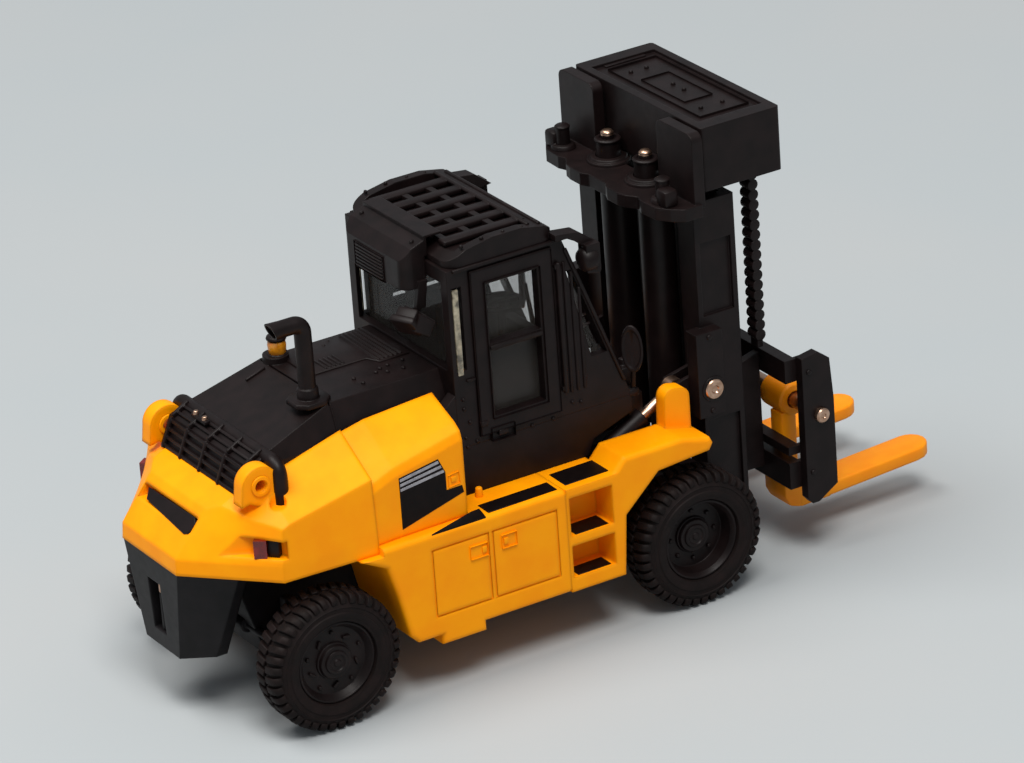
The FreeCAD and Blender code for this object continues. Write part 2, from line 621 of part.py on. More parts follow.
def cab_base():
    """Cab floor block, the cowl in front of the windscreen and the dashboard."""
    body = new_body("cab_base")
    outline = [(s.cab_rear, s.tank_top), (s.steps_front + 0.4, s.tank_top),
               (s.steps_front + 1.1, s.fender_top + 0.2), (s.cab_foot, s.fender_top + 1.7),
               (s.cab_foot, s.base_top), (s.cab_rear, s.base_top)]
    pad(body, "XZ", [outline], -s.cab_half, s.cab_half)
    beside_hood = [(s.cover_front, s.tank_top), (s.cab_rear + 1, s.tank_top),
                   (s.cab_rear + 1, s.base_top), (s.cab_rear, s.base_top),
                   (s.cab_rear, s.hood_shoulder + 1.5), (s.cover_front, s.hood_shoulder)]
    for word, side in BOTH:
        low, high = span(side, s.hood_half + 0.1, s.cab_half)
        pad(body, "XZ", [beside_hood], low, high)
    cowl = [(s.cab_foot - 1, s.fender_top + 0.1), (s.cowl_front, s.fender_top + 0.1),
            (s.cowl_front, s.cowl_top - 1), (s.cab_foot - 1, s.cowl_top)]
    pad(body, "XZ", [cowl], -s.cowl_half, s.cowl_half)
    dash = [(-0.2, s.base_top - 1), (2.4, s.base_top - 1), (2.2, 24.6), (0.6, 26.2), (-0.2, 26.0)]
    pad(body, "XZ", [dash], -s.dash_half, s.dash_half)
    return body


def cab_frame():
    """Cab shell with a leaning front and window openings all round."""
    body = new_body("cab_frame")
    outline = [(s.cab_rear, s.base_top), (s.cab_foot, s.base_top), (s.cab_brow, s.cab_top),
               (s.cab_rear, s.cab_top)]
    pad(body, "XZ", [outline], -s.cab_half, s.cab_half)
    wall = s.cab_wall
    room = [(s.cab_rear + wall, s.base_top - 1), (s.cab_foot - wall, s.base_top - 1),
            (s.cab_foot - wall, s.base_top), (cab_slope(s.cab_top - wall) - wall, s.cab_top - wall),
            (s.cab_rear + wall, s.cab_top - wall)]
    pocket(body, "XZ", [room], -s.cab_half + wall, s.cab_half - wall)
    low, high = s.window_low, s.window_high
    quarter = rectangle(s.cab_rear + 0.4, s.door_rear - 0.8, s.rear_glass_low, high - 0.4)
    doorway = rectangle(s.door_rear, s.door_front, s.door_low, s.door_high)
    sill = low + 3
    front = [(cab_slope(sill) - 2.1, sill), (cab_slope(sill) - 0.4, sill),
             (cab_slope(high - 2) - 0.4, high - 2), (cab_slope(high - 2) - 0.9, high - 2)]
    pocket(body, "XZ", [quarter, doorway, front], -s.cab_half - 1, s.cab_half + 1)
    inside = s.cab_half - 1.1
    pocket(body, "YZ", [rectangle(-inside, inside, s.rear_glass_low, high)],
           s.cab_rear - 1, s.cab_rear + wall + 0.1)
    pocket(body, "YZ", [rectangle(-inside, inside, low, high)], s.cab_brow - 1.6, s.cab_foot + 1)
    return body


def cab_windows():
    """Clear moulding inside the shell: all four panes in one ring."""
    body = new_body("cab_windows")
    wall, glass = s.cab_wall, s.glass
    low, high = s.window_low - 0.5, s.window_high + 0.5
    wide = s.cab_half - wall
    outside = [(s.cab_rear + wall, low), (cab_slope(low) - wall, low),
               (cab_slope(high) - wall, high), (s.cab_rear + wall, high)]
    pad(body, "XZ", [outside], -wide, wide)
    inset = wall + glass
    inside = [(s.cab_rear + inset, low - 1), (cab_slope(low - 1) - inset, low - 1),
              (cab_slope(high + 1) - inset, high + 1), (s.cab_rear + inset, high + 1)]
    pocket(body, "XZ", [inside], -wide + glass, wide - glass)
    return body


def cab_door(word, side):
    """Door leaf in its doorway, with an upper and a lower pane opening."""
    body = new_body(f"{word}_cab_door")
    y_low, y_high = span(side, s.cab_half - s.cab_wall, s.cab_half + s.door_proud)
    play = 0.05
    leaf = rectangle(s.door_rear + play, s.door_front - play, s.door_low + play,
                     s.door_high - play)
    upper = rectangle(s.pane_rear, s.pane_front, s.pane_split + 0.35, s.pane_high)
    lower = rectangle(s.pane_rear, s.pane_front, s.pane_low, s.pane_split - 0.35)
    pad(body, "XZ", [leaf, upper, lower], y_low, y_high)
    return body


def cab_roof():
    """Roof with a bowed rim, a slotted grille in the recess and two work lamps in front."""
    body = new_body("cab_roof")
    rear = s.cab_rear + s.roof_inset
    front = s.roof_front
    top = s.roof_top
    pad(body, "XY", [rectangle(rear, front, -s.cab_half, s.cab_half)], s.cab_top, top + 1)
    round_edges(body, s.roof_rim * 1.4, lambda edge: runs_along(edge, "Z"))
    bow = [(rear - 1, top - 1.1), (rear, top - 1.1), (rear + 1.8, top - 0.2), (rear + 4.5, top + 0.3),
           (front - 3.5, top + 0.3), (front - 1.0, top - 0.2), (front, top - 0.9),
           (front + 1, top - 0.9), (front + 1, top + 2), (rear - 1, top + 2)]
    pocket(body, "XZ", [bow], -s.cab_half - 1, s.cab_half + 1)
    rim = s.roof_rim
    floor = top - s.roof_recess
    pocket(body, "XY", [rectangle(rear + rim, front - 2 * rim, -s.cab_half + rim,
                                  s.cab_half - rim)], floor, top + 1)
    first_x = rear + rim + 0.3
    last_x = first_x + 3 * s.grille_column
    for row in range(6):
        y = (row - 2.5) * s.grille_row
        pad(body, "XY", [rectangle(first_x, last_x + s.grille_bar, y - s.grille_bar / 2,
                                   y + s.grille_bar / 2)], floor - 0.1, top)
    for column in range(4):
        x = first_x + column * s.grille_column
        pad(body, "XY", [rectangle(x, x + s.grille_bar, -2.5 * s.grille_row, 2.5 * s.grille_row)],
            floor - 0.1, top)
    for word, side in BOTH:
        front_lamp(body, side)
    return body


def front_lamp(body, side):
    """Work lamp on an arm from the front corner of the roof."""
    x, z, half = s.lamp_x, s.lamp_z, s.lamp_half
    arm = [(s.roof_front - 0.6, s.cab_top + 0.1), (s.roof_front - 0.6, s.cab_top + 0.7),
           (s.roof_front + 1.8, s.cab_top + 0.4), (x + half, z + 1.5), (x - half + 0.2, z + 1.3),
           (s.roof_front + 1.3, s.cab_top - 0.3), (s.roof_front + 0.6, s.cab_top + 0.1)]
    low, high = span(side, s.cab_half - 0.7, s.lamp_y)
    pad(body, "XZ", [arm], low, high)
    low, high = span(side, s.lamp_y - half, s.lamp_y + half)
    shell = [(x - half, z - 1.0), (x + half - 0.2, z - 1.3), (x + half, z - 1.0),
             (x + half, z + 1.6), (x - half, z + 1.6)]
    pad(body, "XZ", [shell], low, high)


def ac_unit():
    """Air conditioner behind the roof, with the rear work lamp on a bracket under it."""
    body = new_body("ac_unit")
    pad(body, "XY", [rectangle(s.ac_rear, s.cab_rear, -s.ac_half, s.ac_half)], s.ac_low,
        s.ac_high)
    rear = s.ac_rear.value
    round_edges(body, s.roof_rim, lambda edge: runs_along(edge, "Z")
                and edge.BoundBox.XMin < rear + 0.01)
    slope = [(s.ac_rear - 1, s.ac_high + 1), (s.ac_rear - 1, s.ac_high - 2.6),
             (s.ac_rear, s.ac_high - 1.6), (s.ac_rear + 1.0, s.ac_high - 0.5),
             (s.cab_rear, s.ac_high), (s.cab_rear, s.ac_high + 1)]
    pocket(body, "XZ", [slope], -s.ac_half - 1, s.ac_half + 1)
    hump = [(s.cab_rear, s.ac_high - 1.5), (s.cab_rear + s.roof_inset, s.ac_high - 1.5),
            (s.cab_rear + s.roof_inset, s.roof_top + 0.4), (s.ac_front, s.roof_top + 0.4),
            (s.ac_front, s.roof_top + 0.6), (s.cab_rear, s.ac_high + 0.4)]
    pad(body, "XZ", [hump], -s.ac_half, s.ac_half)
    y = s.work_lamp_y
    bracket = [(s.ac_rear + 0.9, s.ac_low - 2.0), (s.ac_rear + 1.9, s.ac_low - 1.8),
               (s.ac_rear + 2.2, s.ac_low + 0.7), (s.ac_rear + 1.4, s.ac_low + 0.7)]
    pad(body, "XZ", [bracket], y + 0.6, y + 1.2)
    shell = [(s.ac_rear - 0.6, s.ac_low - 2.8), (s.ac_rear + 0.9, s.ac_low - 3.7),
             (s.ac_rear + 1.6, s.ac_low - 2.4), (s.ac_rear + 0.2, s.ac_low - 1.4)]
    pad(body, "XZ", [shell], y - 1.4, y + 1.4)
    return body


def cab_interior():
    """Seat, and the steering wheel on its column, behind the windows."""
    seat = new_body("driver_seat")
    outline = [(-9.9, s.base_top), (-4.8, s.base_top), (-4.8, 24.4), (-8.0, 24.8), (-8.7, 31.8),
               (-10.1, 31.8)]
    pad(seat, "XZ", [outline], -2.6, 2.6)
    wheel = new_body("steering_wheel")
    centre = (s.steer_x, 0)
    pad(wheel, "XY", [(centre, s.steer_radius), (centre, s.steer_radius - 0.4)],
        s.steer_z, s.steer_z + 0.4)
    reach = s.steer_radius - 0.2
    pad(wheel, "XY", [rectangle(s.steer_x - reach, s.steer_x + reach, -0.25, 0.25)],
        s.steer_z, s.steer_z + 0.4)
    pad(wheel, "XY", [(centre, 0.4)], s.base_top, s.steer_z + 0.2)


# ---------------------------------------------------------------- outer mast

def outer_rail(word, side):
    """Outer mast channel: open to the inside for the inner rail, recessed on the outside."""
    body = new_body(f"{word}_outer_rail")
    y_in, y_out = s.rail_inner, s.rail_outer
    rear, front = s.rail_rear, s.rail_front
    web = s.rail_outer - s.rail_panel - s.rail_web
    section = [(rear, y_in), (rear, y_out), (front, y_out), (front, y_in),
               (front - s.rail_flange, y_in), (front - s.rail_flange, web),
               (rear + s.rail_flange, web), (rear + s.rail_flange, y_in)]
    pad(body, "XY", [[(x, side * size(y)) for x, y in section]], s.rail_low, s.rail_high)
    low, high = span(side, y_out - s.rail_panel, y_out + 1)
    pocket(body, "XZ", [rectangle(rear + 0.5, front - 0.5, s.bracket_high + 1, s.rail_high - 4)],
           low, high)
    pocket(body, "XZ", [rectangle(rear + 0.5, front - 0.5, s.rail_low + 1, s.bracket_low - 1)],
           low, high)
    low, high = span(side, y_out - s.rail_panel - 0.1, s.bracket_outer)
    pad(body, "XZ", [rectangle(s.bracket_rear, s.bracket_front, s.bracket_low, s.bracket_high)],
        low, high)
    lug = [(rear + 0.2, s.tilt_front_z - 1.4), (rear + 0.2, s.tilt_front_z + 1.4),
           (s.tilt_front_x - 0.3, s.tilt_front_z + 0.8), (s.tilt_front_x - 0.8, s.tilt_front_z),
           (s.tilt_front_x - 0.3, s.tilt_front_z - 0.8)]
    gap = s.eye_half + 0.1
    for start, end in ((-gap - s.cheek, -gap), (gap, gap + s.cheek)):
        low, high = span(side, s.tilt_y + start, s.tilt_y + end)
        pad(body, "XZ", [lug], low, high)
    low, high = span(side, s.tilt_y - gap - s.cheek, s.tilt_y + gap + s.cheek)
    pad(body, "XZ", [((s.tilt_front_x, s.tilt_front_z), s.pin_radius)], low, high)
    return body


def pivot_shaft():
    """Shaft between the rails that the whole mast tilts on."""
    return plate("mast_pivot_shaft", "XZ", [((s.pivot_x, s.pivot_z), s.pivot_radius)],
                 -s.rail_inner, s.rail_inner)


def top_shelf():
    """Shelf behind the rail tops with two upright ears and the bosses of the lift cylinders."""
    body = new_body("mast_top_shelf")
    rear = s.shelf_rear
    half = s.shelf_half
    plan = mirrored([
        (s.rail_rear, half), (s.ear_x - 1.2, half), (rear + 1.5, half - 0.9),
        (rear + 0.7, half - 2.2), (rear + 0.6, half - 4.4), (rear + 0.9, half - 5.3),
        (rear + 0.2, half - 6.4), (rear, s.lift_y + 0.8), (rear, s.lift_y - 0.9),
        (rear + 0.4, s.lift_y - 1.8)])
    pad(body, "XY", [plan], s.shelf_low, s.shelf_high)
    for word, side in BOTH:
        low, high = span(side, s.ear_inner, s.ear_outer)
        pad(body, "YZ", [rectangle(low, high, s.shelf_high - 0.5, s.ear_high)],
            s.ear_x, s.ear_x + s.ear_thick)
    top = s.ear_high.value
    round_edges(body, 0.8, lambda edge: runs_along(edge, "X") and edge.BoundBox.ZMin > top - 0.01)
    for word, side in BOTH:
        spot = (s.boss_x, side * s.lift_y)
        pad(body, "XY", [(spot, s.boss_radius)], s.shelf_low, s.boss_high - 0.6)
        pad(body, "XY", [(spot, s.boss_radius * 0.55)], s.boss_high - 1, s.boss_high)
        pad(body, "XY", [((s.post_x, side * s.post_y), s.post_radius)], s.shelf_low, s.post_high)
    return body


def lift_cylinders():
    """The two lift cylinders on the lower tie of the mast."""
    body = new_body("lift_cylinders")
    rear = s.lift_x - s.lift_radius
    half = s.rail_outer - 0.4
    pad(body, "XZ", [rectangle(rear, s.rail_rear, s.lift_low - 1.4, s.lift_low)], -half, half)
    for word, side in BOTH:
        pad(body, "XY", [((s.lift_x, side * s.lift_y), s.lift_radius)], s.lift_low - 0.5,
            s.shelf_low)
    return body


# ---------------------------------------------------------------- tilt cylinders

def tilt_cylinders():
    """Barrel on the rear pin and rod to the mast lug, both along the line between the pins."""
    run_x = s.tilt_front_x - s.tilt_rear_x
    run_z = s.tilt_front_z - s.tilt_rear_z
    length = math.hypot(run_x.value, run_z.value)
    angle = math.degrees(math.atan2(run_z.value, run_x.value))
    for word, side in BOTH:
        barrel = new_body(f"{word}_tilt_barrel")
        a, b = -s.eye_half, s.eye_half
        pad(barrel, "XZ", [((0, 0), s.eye_radius), ((0, 0), s.pin_radius + s.bore_play)], a, b)
        reach = 0.58 * length
        pad(barrel, "YZ", [((0, 0), s.barrel_radius)], s.eye_radius * 0.8, reach)
        pocket(barrel, "YZ", [((0, 0), s.rod_radius + s.bore_play)], s.eye_radius + 0.4, reach)
        rod = new_body(f"{word}_tilt_rod")
        pad(rod, "XZ", [((length, 0), s.eye_radius)], a, b)
        pad(rod, "YZ", [((0, 0), s.rod_radius)], 0.4 * length, length - s.eye_radius * 0.8)
        pocket(rod, "XZ", [((length, 0), s.pin_radius + s.eye_play)], a, b)
        for body in (barrel, rod):
            bind(body, "Placement.Base.x", s.tilt_rear_x)
            bind(body, "Placement.Base.y", side * s.tilt_y)
            bind(body, "Placement.Base.z", s.tilt_rear_z)
            body.Placement.Rotation = FreeCAD.Rotation(FreeCAD.Vector(0, 1, 0), -angle)


# ---------------------------------------------------------------- inner mast

def inner_mast():
    """Inner rails in the channels, the closed top box and the chains that hang from it."""
    play = s.inner_play
    rear = s.rail_rear + s.rail_flange + play
    front = s.rail_front - s.rail_flange - play
    outside = s.rail_outer - s.rail_panel - s.rail_web - play
    for word, side in BOTH:
        low, high = span(side, s.inner_inside, outside)
        plate(f"{word}_inner_rail", "XY", [rectangle(rear, front, low, high)], s.inner_low,
              s.box_low)
    tie = new_body("inner_mast_tie")
    pad(tie, "XZ", [rectangle(front - 1.0, front, 20.5, 24.0)], -s.inner_inside, s.inner_inside)
    box = new_body("mast_top_box")
    pad(box, "XY", [rectangle(s.box_rear, s.box_front, -s.box_half, s.box_half)],
        s.box_low, s.box_high)
    round_edges(box, 0.35, lambda edge: runs_along(edge, "Z"))
    margin = s.box_margin
    pocket(box, "XY", [rectangle(s.box_rear + margin, s.box_front - margin,
                                 -s.box_half + margin * 2, s.box_half - margin * 2)],
           s.box_high - s.box_recess, s.box_high)
    for word, side in BOTH:
        chain(word, side)


def chain(word, side):
    """Leaf chain strip with a link profile."""
    body = new_body(f"{word}_lift_chain")
    low, high = span(side, s.chain_y - s.chain_wide / 2, s.chain_y + s.chain_wide / 2)
    rear = s.chain_x - s.chain_thick / 2
    front = s.chain_x + s.chain_thick / 2
    count = int((s.box_low.value - s.chain_low.value) / s.chain_pitch.value)
    right_edge = []
    left_edge = []
    for link in range(count):
        foot = s.box_low - (count - link) * s.chain_pitch
        right_edge += [(front - 0.2, foot), (front, foot + s.chain_pitch * 0.3),
                       (front, foot + s.chain_pitch * 0.7)]
        left_edge += [(rear + 0.2, foot), (rear, foot + s.chain_pitch * 0.3),
                      (rear, foot + s.chain_pitch * 0.7)]
    outline = right_edge + [(front - 0.2, s.box_low), (rear + 0.2, s.box_low)] + left_edge[::-1]
    pad(body, "XZ", [outline], low, high)
    return body


# ---------------------------------------------------------------- carriage and forks

def carriage():
    """Side plates, beams, roller plates and the shaft that the forks hang on."""
    top, bottom, rear, front = s.plate_top, s.plate_bottom, s.plate_rear, s.plate_front
    outline = [(rear, top - 0.3), (rear + 1.8, top), (front - 0.3, top - 0.9), (front, top - 5),
               (front, bottom + 1.3), (rear + 1.2, bottom), (rear + 0.5, bottom), (rear, bottom + 0.6)]
    for word, side in BOTH:
        low, high = span(side, s.plate_inner, s.plate_outer)
        bore = ((s.shaft_x, s.shaft_z), s.shaft_radius)
        plate(f"{word}_carriage_plate", "XZ", [outline, bore], low, high)
        low, high = span(side, s.roller_inner, s.roller_outer)
        shape = [(s.roller_rear, 8.0), (s.beam_rear, 8.0), (s.beam_rear, s.beam_top - 0.6),
                 (s.roller_rear, s.beam_top - 1.6)]
        plate(f"{word}_roller_plate", "XZ", [shape], low, high)
    wide = s.plate_inner
    foot = front - 1.8
    lip = wide - 0.5
    plan = mirrored([(s.beam_rear, wide), (foot, wide), (foot, lip), (s.beam_front, lip)][::-1])
    plate("carriage_upper_beam", "XY", [plan], s.beam_low, s.beam_top - 0.2)
    plate("carriage_lower_beam", "XY", [plan], s.bar_low, s.bar_top)
    middle = s.bar_top + 0.8
    plate("carriage_middle_bar", "XY", [plan], middle, middle + 0.8)
    plate("fork_shaft", "XZ", [((s.shaft_x, s.shaft_z), s.shaft_radius)],
          -s.plate_outer - 0.3, s.plate_outer + 0.3)


def fork(word, side):
    """Fork with an eye on the shaft, an upright shank and a tapered blade."""
    body = new_body(f"{word}_fork")
    low, high = span(side, s.fork_y - s.fork_width / 2, s.fork_y + s.fork_width / 2)
    rise = s.fork_low + s.fork_rise
    shape = [
        (s.shank_rear, s.shaft_z), (s.shank_rear, s.fork_low + 1.6), (s.shank_rear + 0.4, s.fork_low + 0.6),
        (s.shank_rear + 1.6, s.fork_low), (s.shank_rear + 5, s.fork_low), (s.fork_tip, rise),
        (s.fork_tip, rise + s.fork_thick), (s.shank_front + 1.6, s.fork_low + s.fork_thick + 0.1),
        (s.shank_front, s.fork_low + s.fork_thick + 1.4), (s.shank_front, s.shaft_z)]
    pad(body, "XZ", [shape], low, high)
    pad(body, "XZ", [((s.shaft_x, s.shaft_z), s.shaft_radius + 0.9)], low, high)
    pocket(body, "XZ", [((s.shaft_x, s.shaft_z), s.shaft_radius + s.fork_play)], low, high)
    far = s.fork_tip.value
    round_edges(body, 1.2, lambda edge: runs_along(edge, "Z") and edge.BoundBox.XMin > far - 0.01)
    return body


def build():
    chassis()
    wheel_set("front", s.front_axle_x, s.rim_dish)
    wheel_set("rear", s.rear_axle_x, s.rim_dish * 0.35)
    counterweight(guard_bar())
    lower_counterweight()
    towing_pin()
    hood()
    exhaust()
    beacon()
    cab_base()
    cab_frame()
    cab_windows()
    cab_roof()
    ac_unit()
    cab_interior()
    pivot_shaft()
    top_shelf()
    lift_cylinders()
    tilt_cylinders()
    inner_mast()
    carriage()
    for word, side in BOTH:
        tail_lamp(word, side)
        tank(word, side)
        fender(word, side)
        side_cover(word, side)
        cab_door(word, side)
        outer_rail(word, side)
        fork(word, side)


def export():
    """Stop on any failed object, then write one file for each node."""
    doc.recompute()
    for item in doc.Objects:
        if "Invalid" in item.State or "Error" in item.State:
            raise RuntimeError(f"{item.Label} failed: {item.State}")
    os.makedirs("parts", exist_ok=True)
    for node in nodes:
        shape = node.Shape
        if shape.isNull() or not shape.isValid():
            raise RuntimeError(f"{node.Label} has no valid shape")
        shape.exportStep(f"parts/{node.Label}.step")
        print(f"{node.Label:28s} {shape.Volume:9.2f} solids {len(shape.Solids)}")
    print(len(nodes), "nodes")


build()
export()
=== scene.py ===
"""Looks of the toy forklift: finishes, small fittings, studio and camera.

Places and sizes are in millimetres in the CAD frame (+X forward, +Y left, +Z up).
Each piece is scaled to metres once, when it is finished.
"""
import json
import math

import bmesh
import bpy
from mathutils import Matrix, Vector


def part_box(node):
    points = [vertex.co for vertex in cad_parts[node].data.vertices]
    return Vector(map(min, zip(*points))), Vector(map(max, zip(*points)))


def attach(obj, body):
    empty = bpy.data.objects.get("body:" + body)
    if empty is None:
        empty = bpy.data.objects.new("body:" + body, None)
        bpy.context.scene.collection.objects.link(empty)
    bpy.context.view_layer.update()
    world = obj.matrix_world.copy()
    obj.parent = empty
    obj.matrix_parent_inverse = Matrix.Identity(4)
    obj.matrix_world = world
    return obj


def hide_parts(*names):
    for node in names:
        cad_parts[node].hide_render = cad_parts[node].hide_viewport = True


MM = 0.001

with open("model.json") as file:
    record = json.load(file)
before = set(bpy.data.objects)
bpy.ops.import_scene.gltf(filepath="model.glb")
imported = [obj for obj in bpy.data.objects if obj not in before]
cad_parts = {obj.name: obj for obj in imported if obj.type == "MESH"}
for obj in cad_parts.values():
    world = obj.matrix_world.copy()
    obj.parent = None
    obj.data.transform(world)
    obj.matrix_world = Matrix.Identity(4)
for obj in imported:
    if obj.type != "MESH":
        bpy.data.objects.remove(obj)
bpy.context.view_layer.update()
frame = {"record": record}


# ---------------------------------------------------------------- finishes

def srgb(text):
    """An sRGB hex colour as linear RGBA."""
    channels = [int(text[i:i + 2], 16) / 255 for i in (0, 2, 4)]
    return [c / 12.92 if c <= 0.04045 else ((c + 0.055) / 1.055) ** 2.4 for c in channels] + [1.0]


def add_node(tree, kind, inputs=None, links=None, **settings):
    """Add a node, set its properties and sockets, and link sockets that come from other nodes."""
    node = tree.nodes.new(kind)
    for name, value in settings.items():
        setattr(node, name, value)
    for name, value in (inputs or {}).items():
        node.inputs[name].default_value = value
    for name, source in (links or {}).items():
        tree.links.new(source, node.inputs[name])
    return node


def new_material(name, **sockets):
    """A material with one Principled shader; returns material, tree and shader."""
    material = bpy.data.materials.new(name)
    material.use_nodes = True
    tree = material.node_tree
    shader = tree.nodes["Principled BSDF"]
    for socket, value in sockets.items():
        shader.inputs[socket.replace("_", " ")].default_value = value
    return material, tree, shader


def noise(tree, size_mm, detail):
    """Noise in patches of about size_mm, fixed to the object; returns its output."""
    place = add_node(tree, "ShaderNodeTexCoord")
    patches = add_node(tree, "ShaderNodeTexNoise",
                       {"Scale": 1 / (size_mm * MM), "Detail": detail},
                       {"Vector": place.outputs["Object"]})
    return patches.outputs["Fac"]


def mottle(tree, shader, low, high, size_mm):
    """Colour that wanders between two hex values in patches of about size_mm."""
    ramp = add_node(tree, "ShaderNodeValToRGB", links={"Fac": noise(tree, size_mm, 3.0)})
    ramp.color_ramp.elements[0].position = 0.35
    ramp.color_ramp.elements[1].position = 0.65
    ramp.color_ramp.elements[0].color = srgb(low)
    ramp.color_ramp.elements[1].color = srgb(high)
    tree.links.new(ramp.outputs["Color"], shader.inputs["Base Color"])


def vary_roughness(tree, shader, low, high, size_mm):
    """Roughness that wanders between two values in patches of about size_mm."""
    spread = add_node(tree, "ShaderNodeMapRange", {"To Min": low, "To Max": high},
                      {"Value": noise(tree, size_mm, 3.0)})
    tree.links.new(spread.outputs["Result"], shader.inputs["Roughness"])


def grain(tree, shader, size_mm, depth_mm, edge_mm=0.0):
    """Fine relief of the surface, over edges that look rounded by edge_mm."""
    relief = add_node(tree, "ShaderNodeBump", {"Distance": depth_mm * MM},
                      {"Height": noise(tree, size_mm, 2.0)})
    if edge_mm:
        softened = add_node(tree, "ShaderNodeBevel", {"Radius": edge_mm * MM}, samples=6)
        tree.links.new(softened.outputs["Normal"], relief.inputs["Normal"])
    tree.links.new(relief.outputs["Normal"], shader.inputs["Normal"])


def yellow_enamel(name, edge_mm):
    """Enamel sprayed on metal: warm yellow, satin, faint orange peel, edges eased by edge_mm."""
    material, tree, shader = new_material(name, IOR=1.45, Specular_IOR_Level=0.13,
                                          Coat_Weight=0.03, Coat_Roughness=0.2)
    mottle(tree, shader, "FC9600", "FF9F00", 3.0)
    vary_roughness(tree, shader, 0.42, 0.55, 1.2)
    grain(tree, shader, 0.35, 0.005, edge_mm)
    return material


def fork_plastic():
    """Moulded orange-yellow ABS: slightly translucent, so its edges glow a little."""
    material, tree, shader = new_material("Orange_yellow_moulded_ABS", IOR=1.5,
                                          Specular_IOR_Level=0.25, Subsurface_Weight=0.08,
                                          Subsurface_Scale=0.0006)
    mottle(tree, shader, "F68C04", "FA9606", 2.5)
    vary_roughness(tree, shader, 0.40, 0.5, 1.0)
    grain(tree, shader, 0.3, 0.004, 0.2)
    return material


def cab_interior():
    """Black moulded ABS inside the cab: smooth and nearly matt, to stay calm behind panes."""
    material, tree, shader = new_material("Matt_black_ABS_interior", IOR=1.46,
                                          Specular_IOR_Level=0.1)
    mottle(tree, shader, "140C0C", "1C1212", 1.8)
    vary_roughness(tree, shader, 0.75, 0.85, 0.8)
    return material


def black_plastic():
    """Black moulded ABS: warm black, spark-eroded mould grain, a soft sheen on its edges."""
    material, tree, shader = new_material("Black_moulded_ABS", IOR=1.46,
                                          Specular_IOR_Level=0.22)
    mottle(tree, shader, "0F0808", "170E0E", 1.8)
    vary_roughness(tree, shader, 0.38, 0.52, 0.8)
    grain(tree, shader, 0.12, 0.005, 0.15)
    return material


def grey_black_paint():
    """Dark grey paint on the metal underframe: semi-matt with a grainy coat."""
    material, tree, shader = new_material("Dark_grey_paint_on_diecast", IOR=1.45,
                                          Specular_IOR_Level=0.25)
    mottle(tree, shader, "100E0F", "171416", 1.5)
    vary_roughness(tree, shader, 0.45, 0.58, 0.8)
    grain(tree, shader, 0.2, 0.007, 0.25)
    return material


def tyre_rubber():
    """Moulded soft rubber: brownish black, nearly matt, slightly dusty."""
    material, tree, shader = new_material("Moulded_black_rubber", IOR=1.45,
                                          Specular_IOR_Level=0.2)
    mottle(tree, shader, "0F0807", "170D0C", 1.2)
    vary_roughness(tree, shader, 0.58, 0.75, 0.7)
    grain(tree, shader, 0.15, 0.01)
    return material


def bright_steel():
    """Turned steel pin: a fine cut grain that breaks the highlight, and a warm brownish tint."""
    material, tree, shader = new_material("Turned_steel", Metallic=1.0)
    mottle(tree, shader, "AA8872", "C9A892", 0.6)
    vary_roughness(tree, shader, 0.26, 0.4, 0.4)
    grain(tree, shader, 0.08, 0.002)
    return material


def lens(name, low, high):
    """Tinted clear polystyrene: smooth, so it keeps one small sharp highlight."""
    material, tree, shader = new_material(name, IOR=1.59, Transmission_Weight=0.35)
    mottle(tree, shader, low, high, 0.8)
    vary_roughness(tree, shader, 0.08, 0.18, 0.6)
    return material


def window_plastic():
    """Clear polystyrene moulding: smooth, mostly see-through, with a warm grey tint."""
    material, tree, shader = new_material("Clear_polystyrene_window", IOR=1.55, Alpha=0.2)
    mottle(tree, shader, "45423E", "504C48", 4.0)
    vary_roughness(tree, shader, 0.04, 0.1, 2.0)
    return material


def silver_print():
    """Pad-printed silver ink: thin metal flake in lacquer, greyer than the steel."""
    material, tree, shader = new_material("Pad_printed_silver_ink", Metallic=0.3)
    mottle(tree, shader, "8C8A90", "A5A3A8", 0.5)
    vary_roughness(tree, shader, 0.42, 0.55, 0.4)
    return material


def black_print():
    """Pad-printed black ink on the enamel: even, a little duller than the plastic."""
    material, tree, shader = new_material("Pad_printed_black_ink", IOR=1.45,
                                          Specular_IOR_Level=0.15)
    mottle(tree, shader, "080404", "0F0807", 0.8)
    vary_roughness(tree, shader, 0.45, 0.55, 0.5)
    return material


FINISHES = {
    "yellow_paint": yellow_enamel("Yellow_spray_enamel_on_diecast", 0.5),
    "fork_orange": fork_plastic(),
    "black_plastic": black_plastic(),
    "dark_grey_paint": grey_black_paint(),
    "tyre_rubber": tyre_rubber(),
    "steel": bright_steel(),
    "red_lens": lens("Red_polystyrene_lens", "6A0A08", "8E120E"),
    "amber_lens": lens("Amber_polystyrene_lens", "C87410", "EE9A1C"),
    "clear_window": window_plastic(),
}
# The quarter pane's edge is coloured pale cream: a painted highlight for the light caught in the
# pane's thick edge.
PANE_EDGE_PAINTED_HIGHLIGHT = lens("Pane_edge_painted_highlight", "5E574A", "CFC4A8")
THIN_ENAMEL = yellow_enamel("Thin_yellow_spray_enamel", 0.06)
CAB_INTERIOR = cab_interior()
SILVER_PRINT = silver_print()
BLACK_PRINT = black_print()
CAB_INSIDE_NODES = ("driver_seat", "steering_wheel")


def finish_cad_nodes():
    """Give every CAD node the finish of its record slot, or the one for inside the cab."""
    slots = {entry["node"]: entry["material_slot"] for entry in frame["record"]["subparts"]}
    for name, slot in slots.items():
        node = bpy.data.objects[name]
        node.data.materials.clear()
        node.data.materials.append(CAB_INTERIOR if name in CAB_INSIDE_NODES else FINISHES[slot])


finish_cad_nodes()


# ---------------------------------------------------------------- modelling helpers

SMOOTH_BELOW = math.radians(38)
SIDES = (("right", -1), ("left", 1))
X, Y, Z = Vector((1, 0, 0)), Vector((0, 1, 0)), Vector((0, 0, 1))


def facing_x(y, z, x):
    """Spot for an outline drawn in Y and Z and extruded along X."""
    return x, y, z


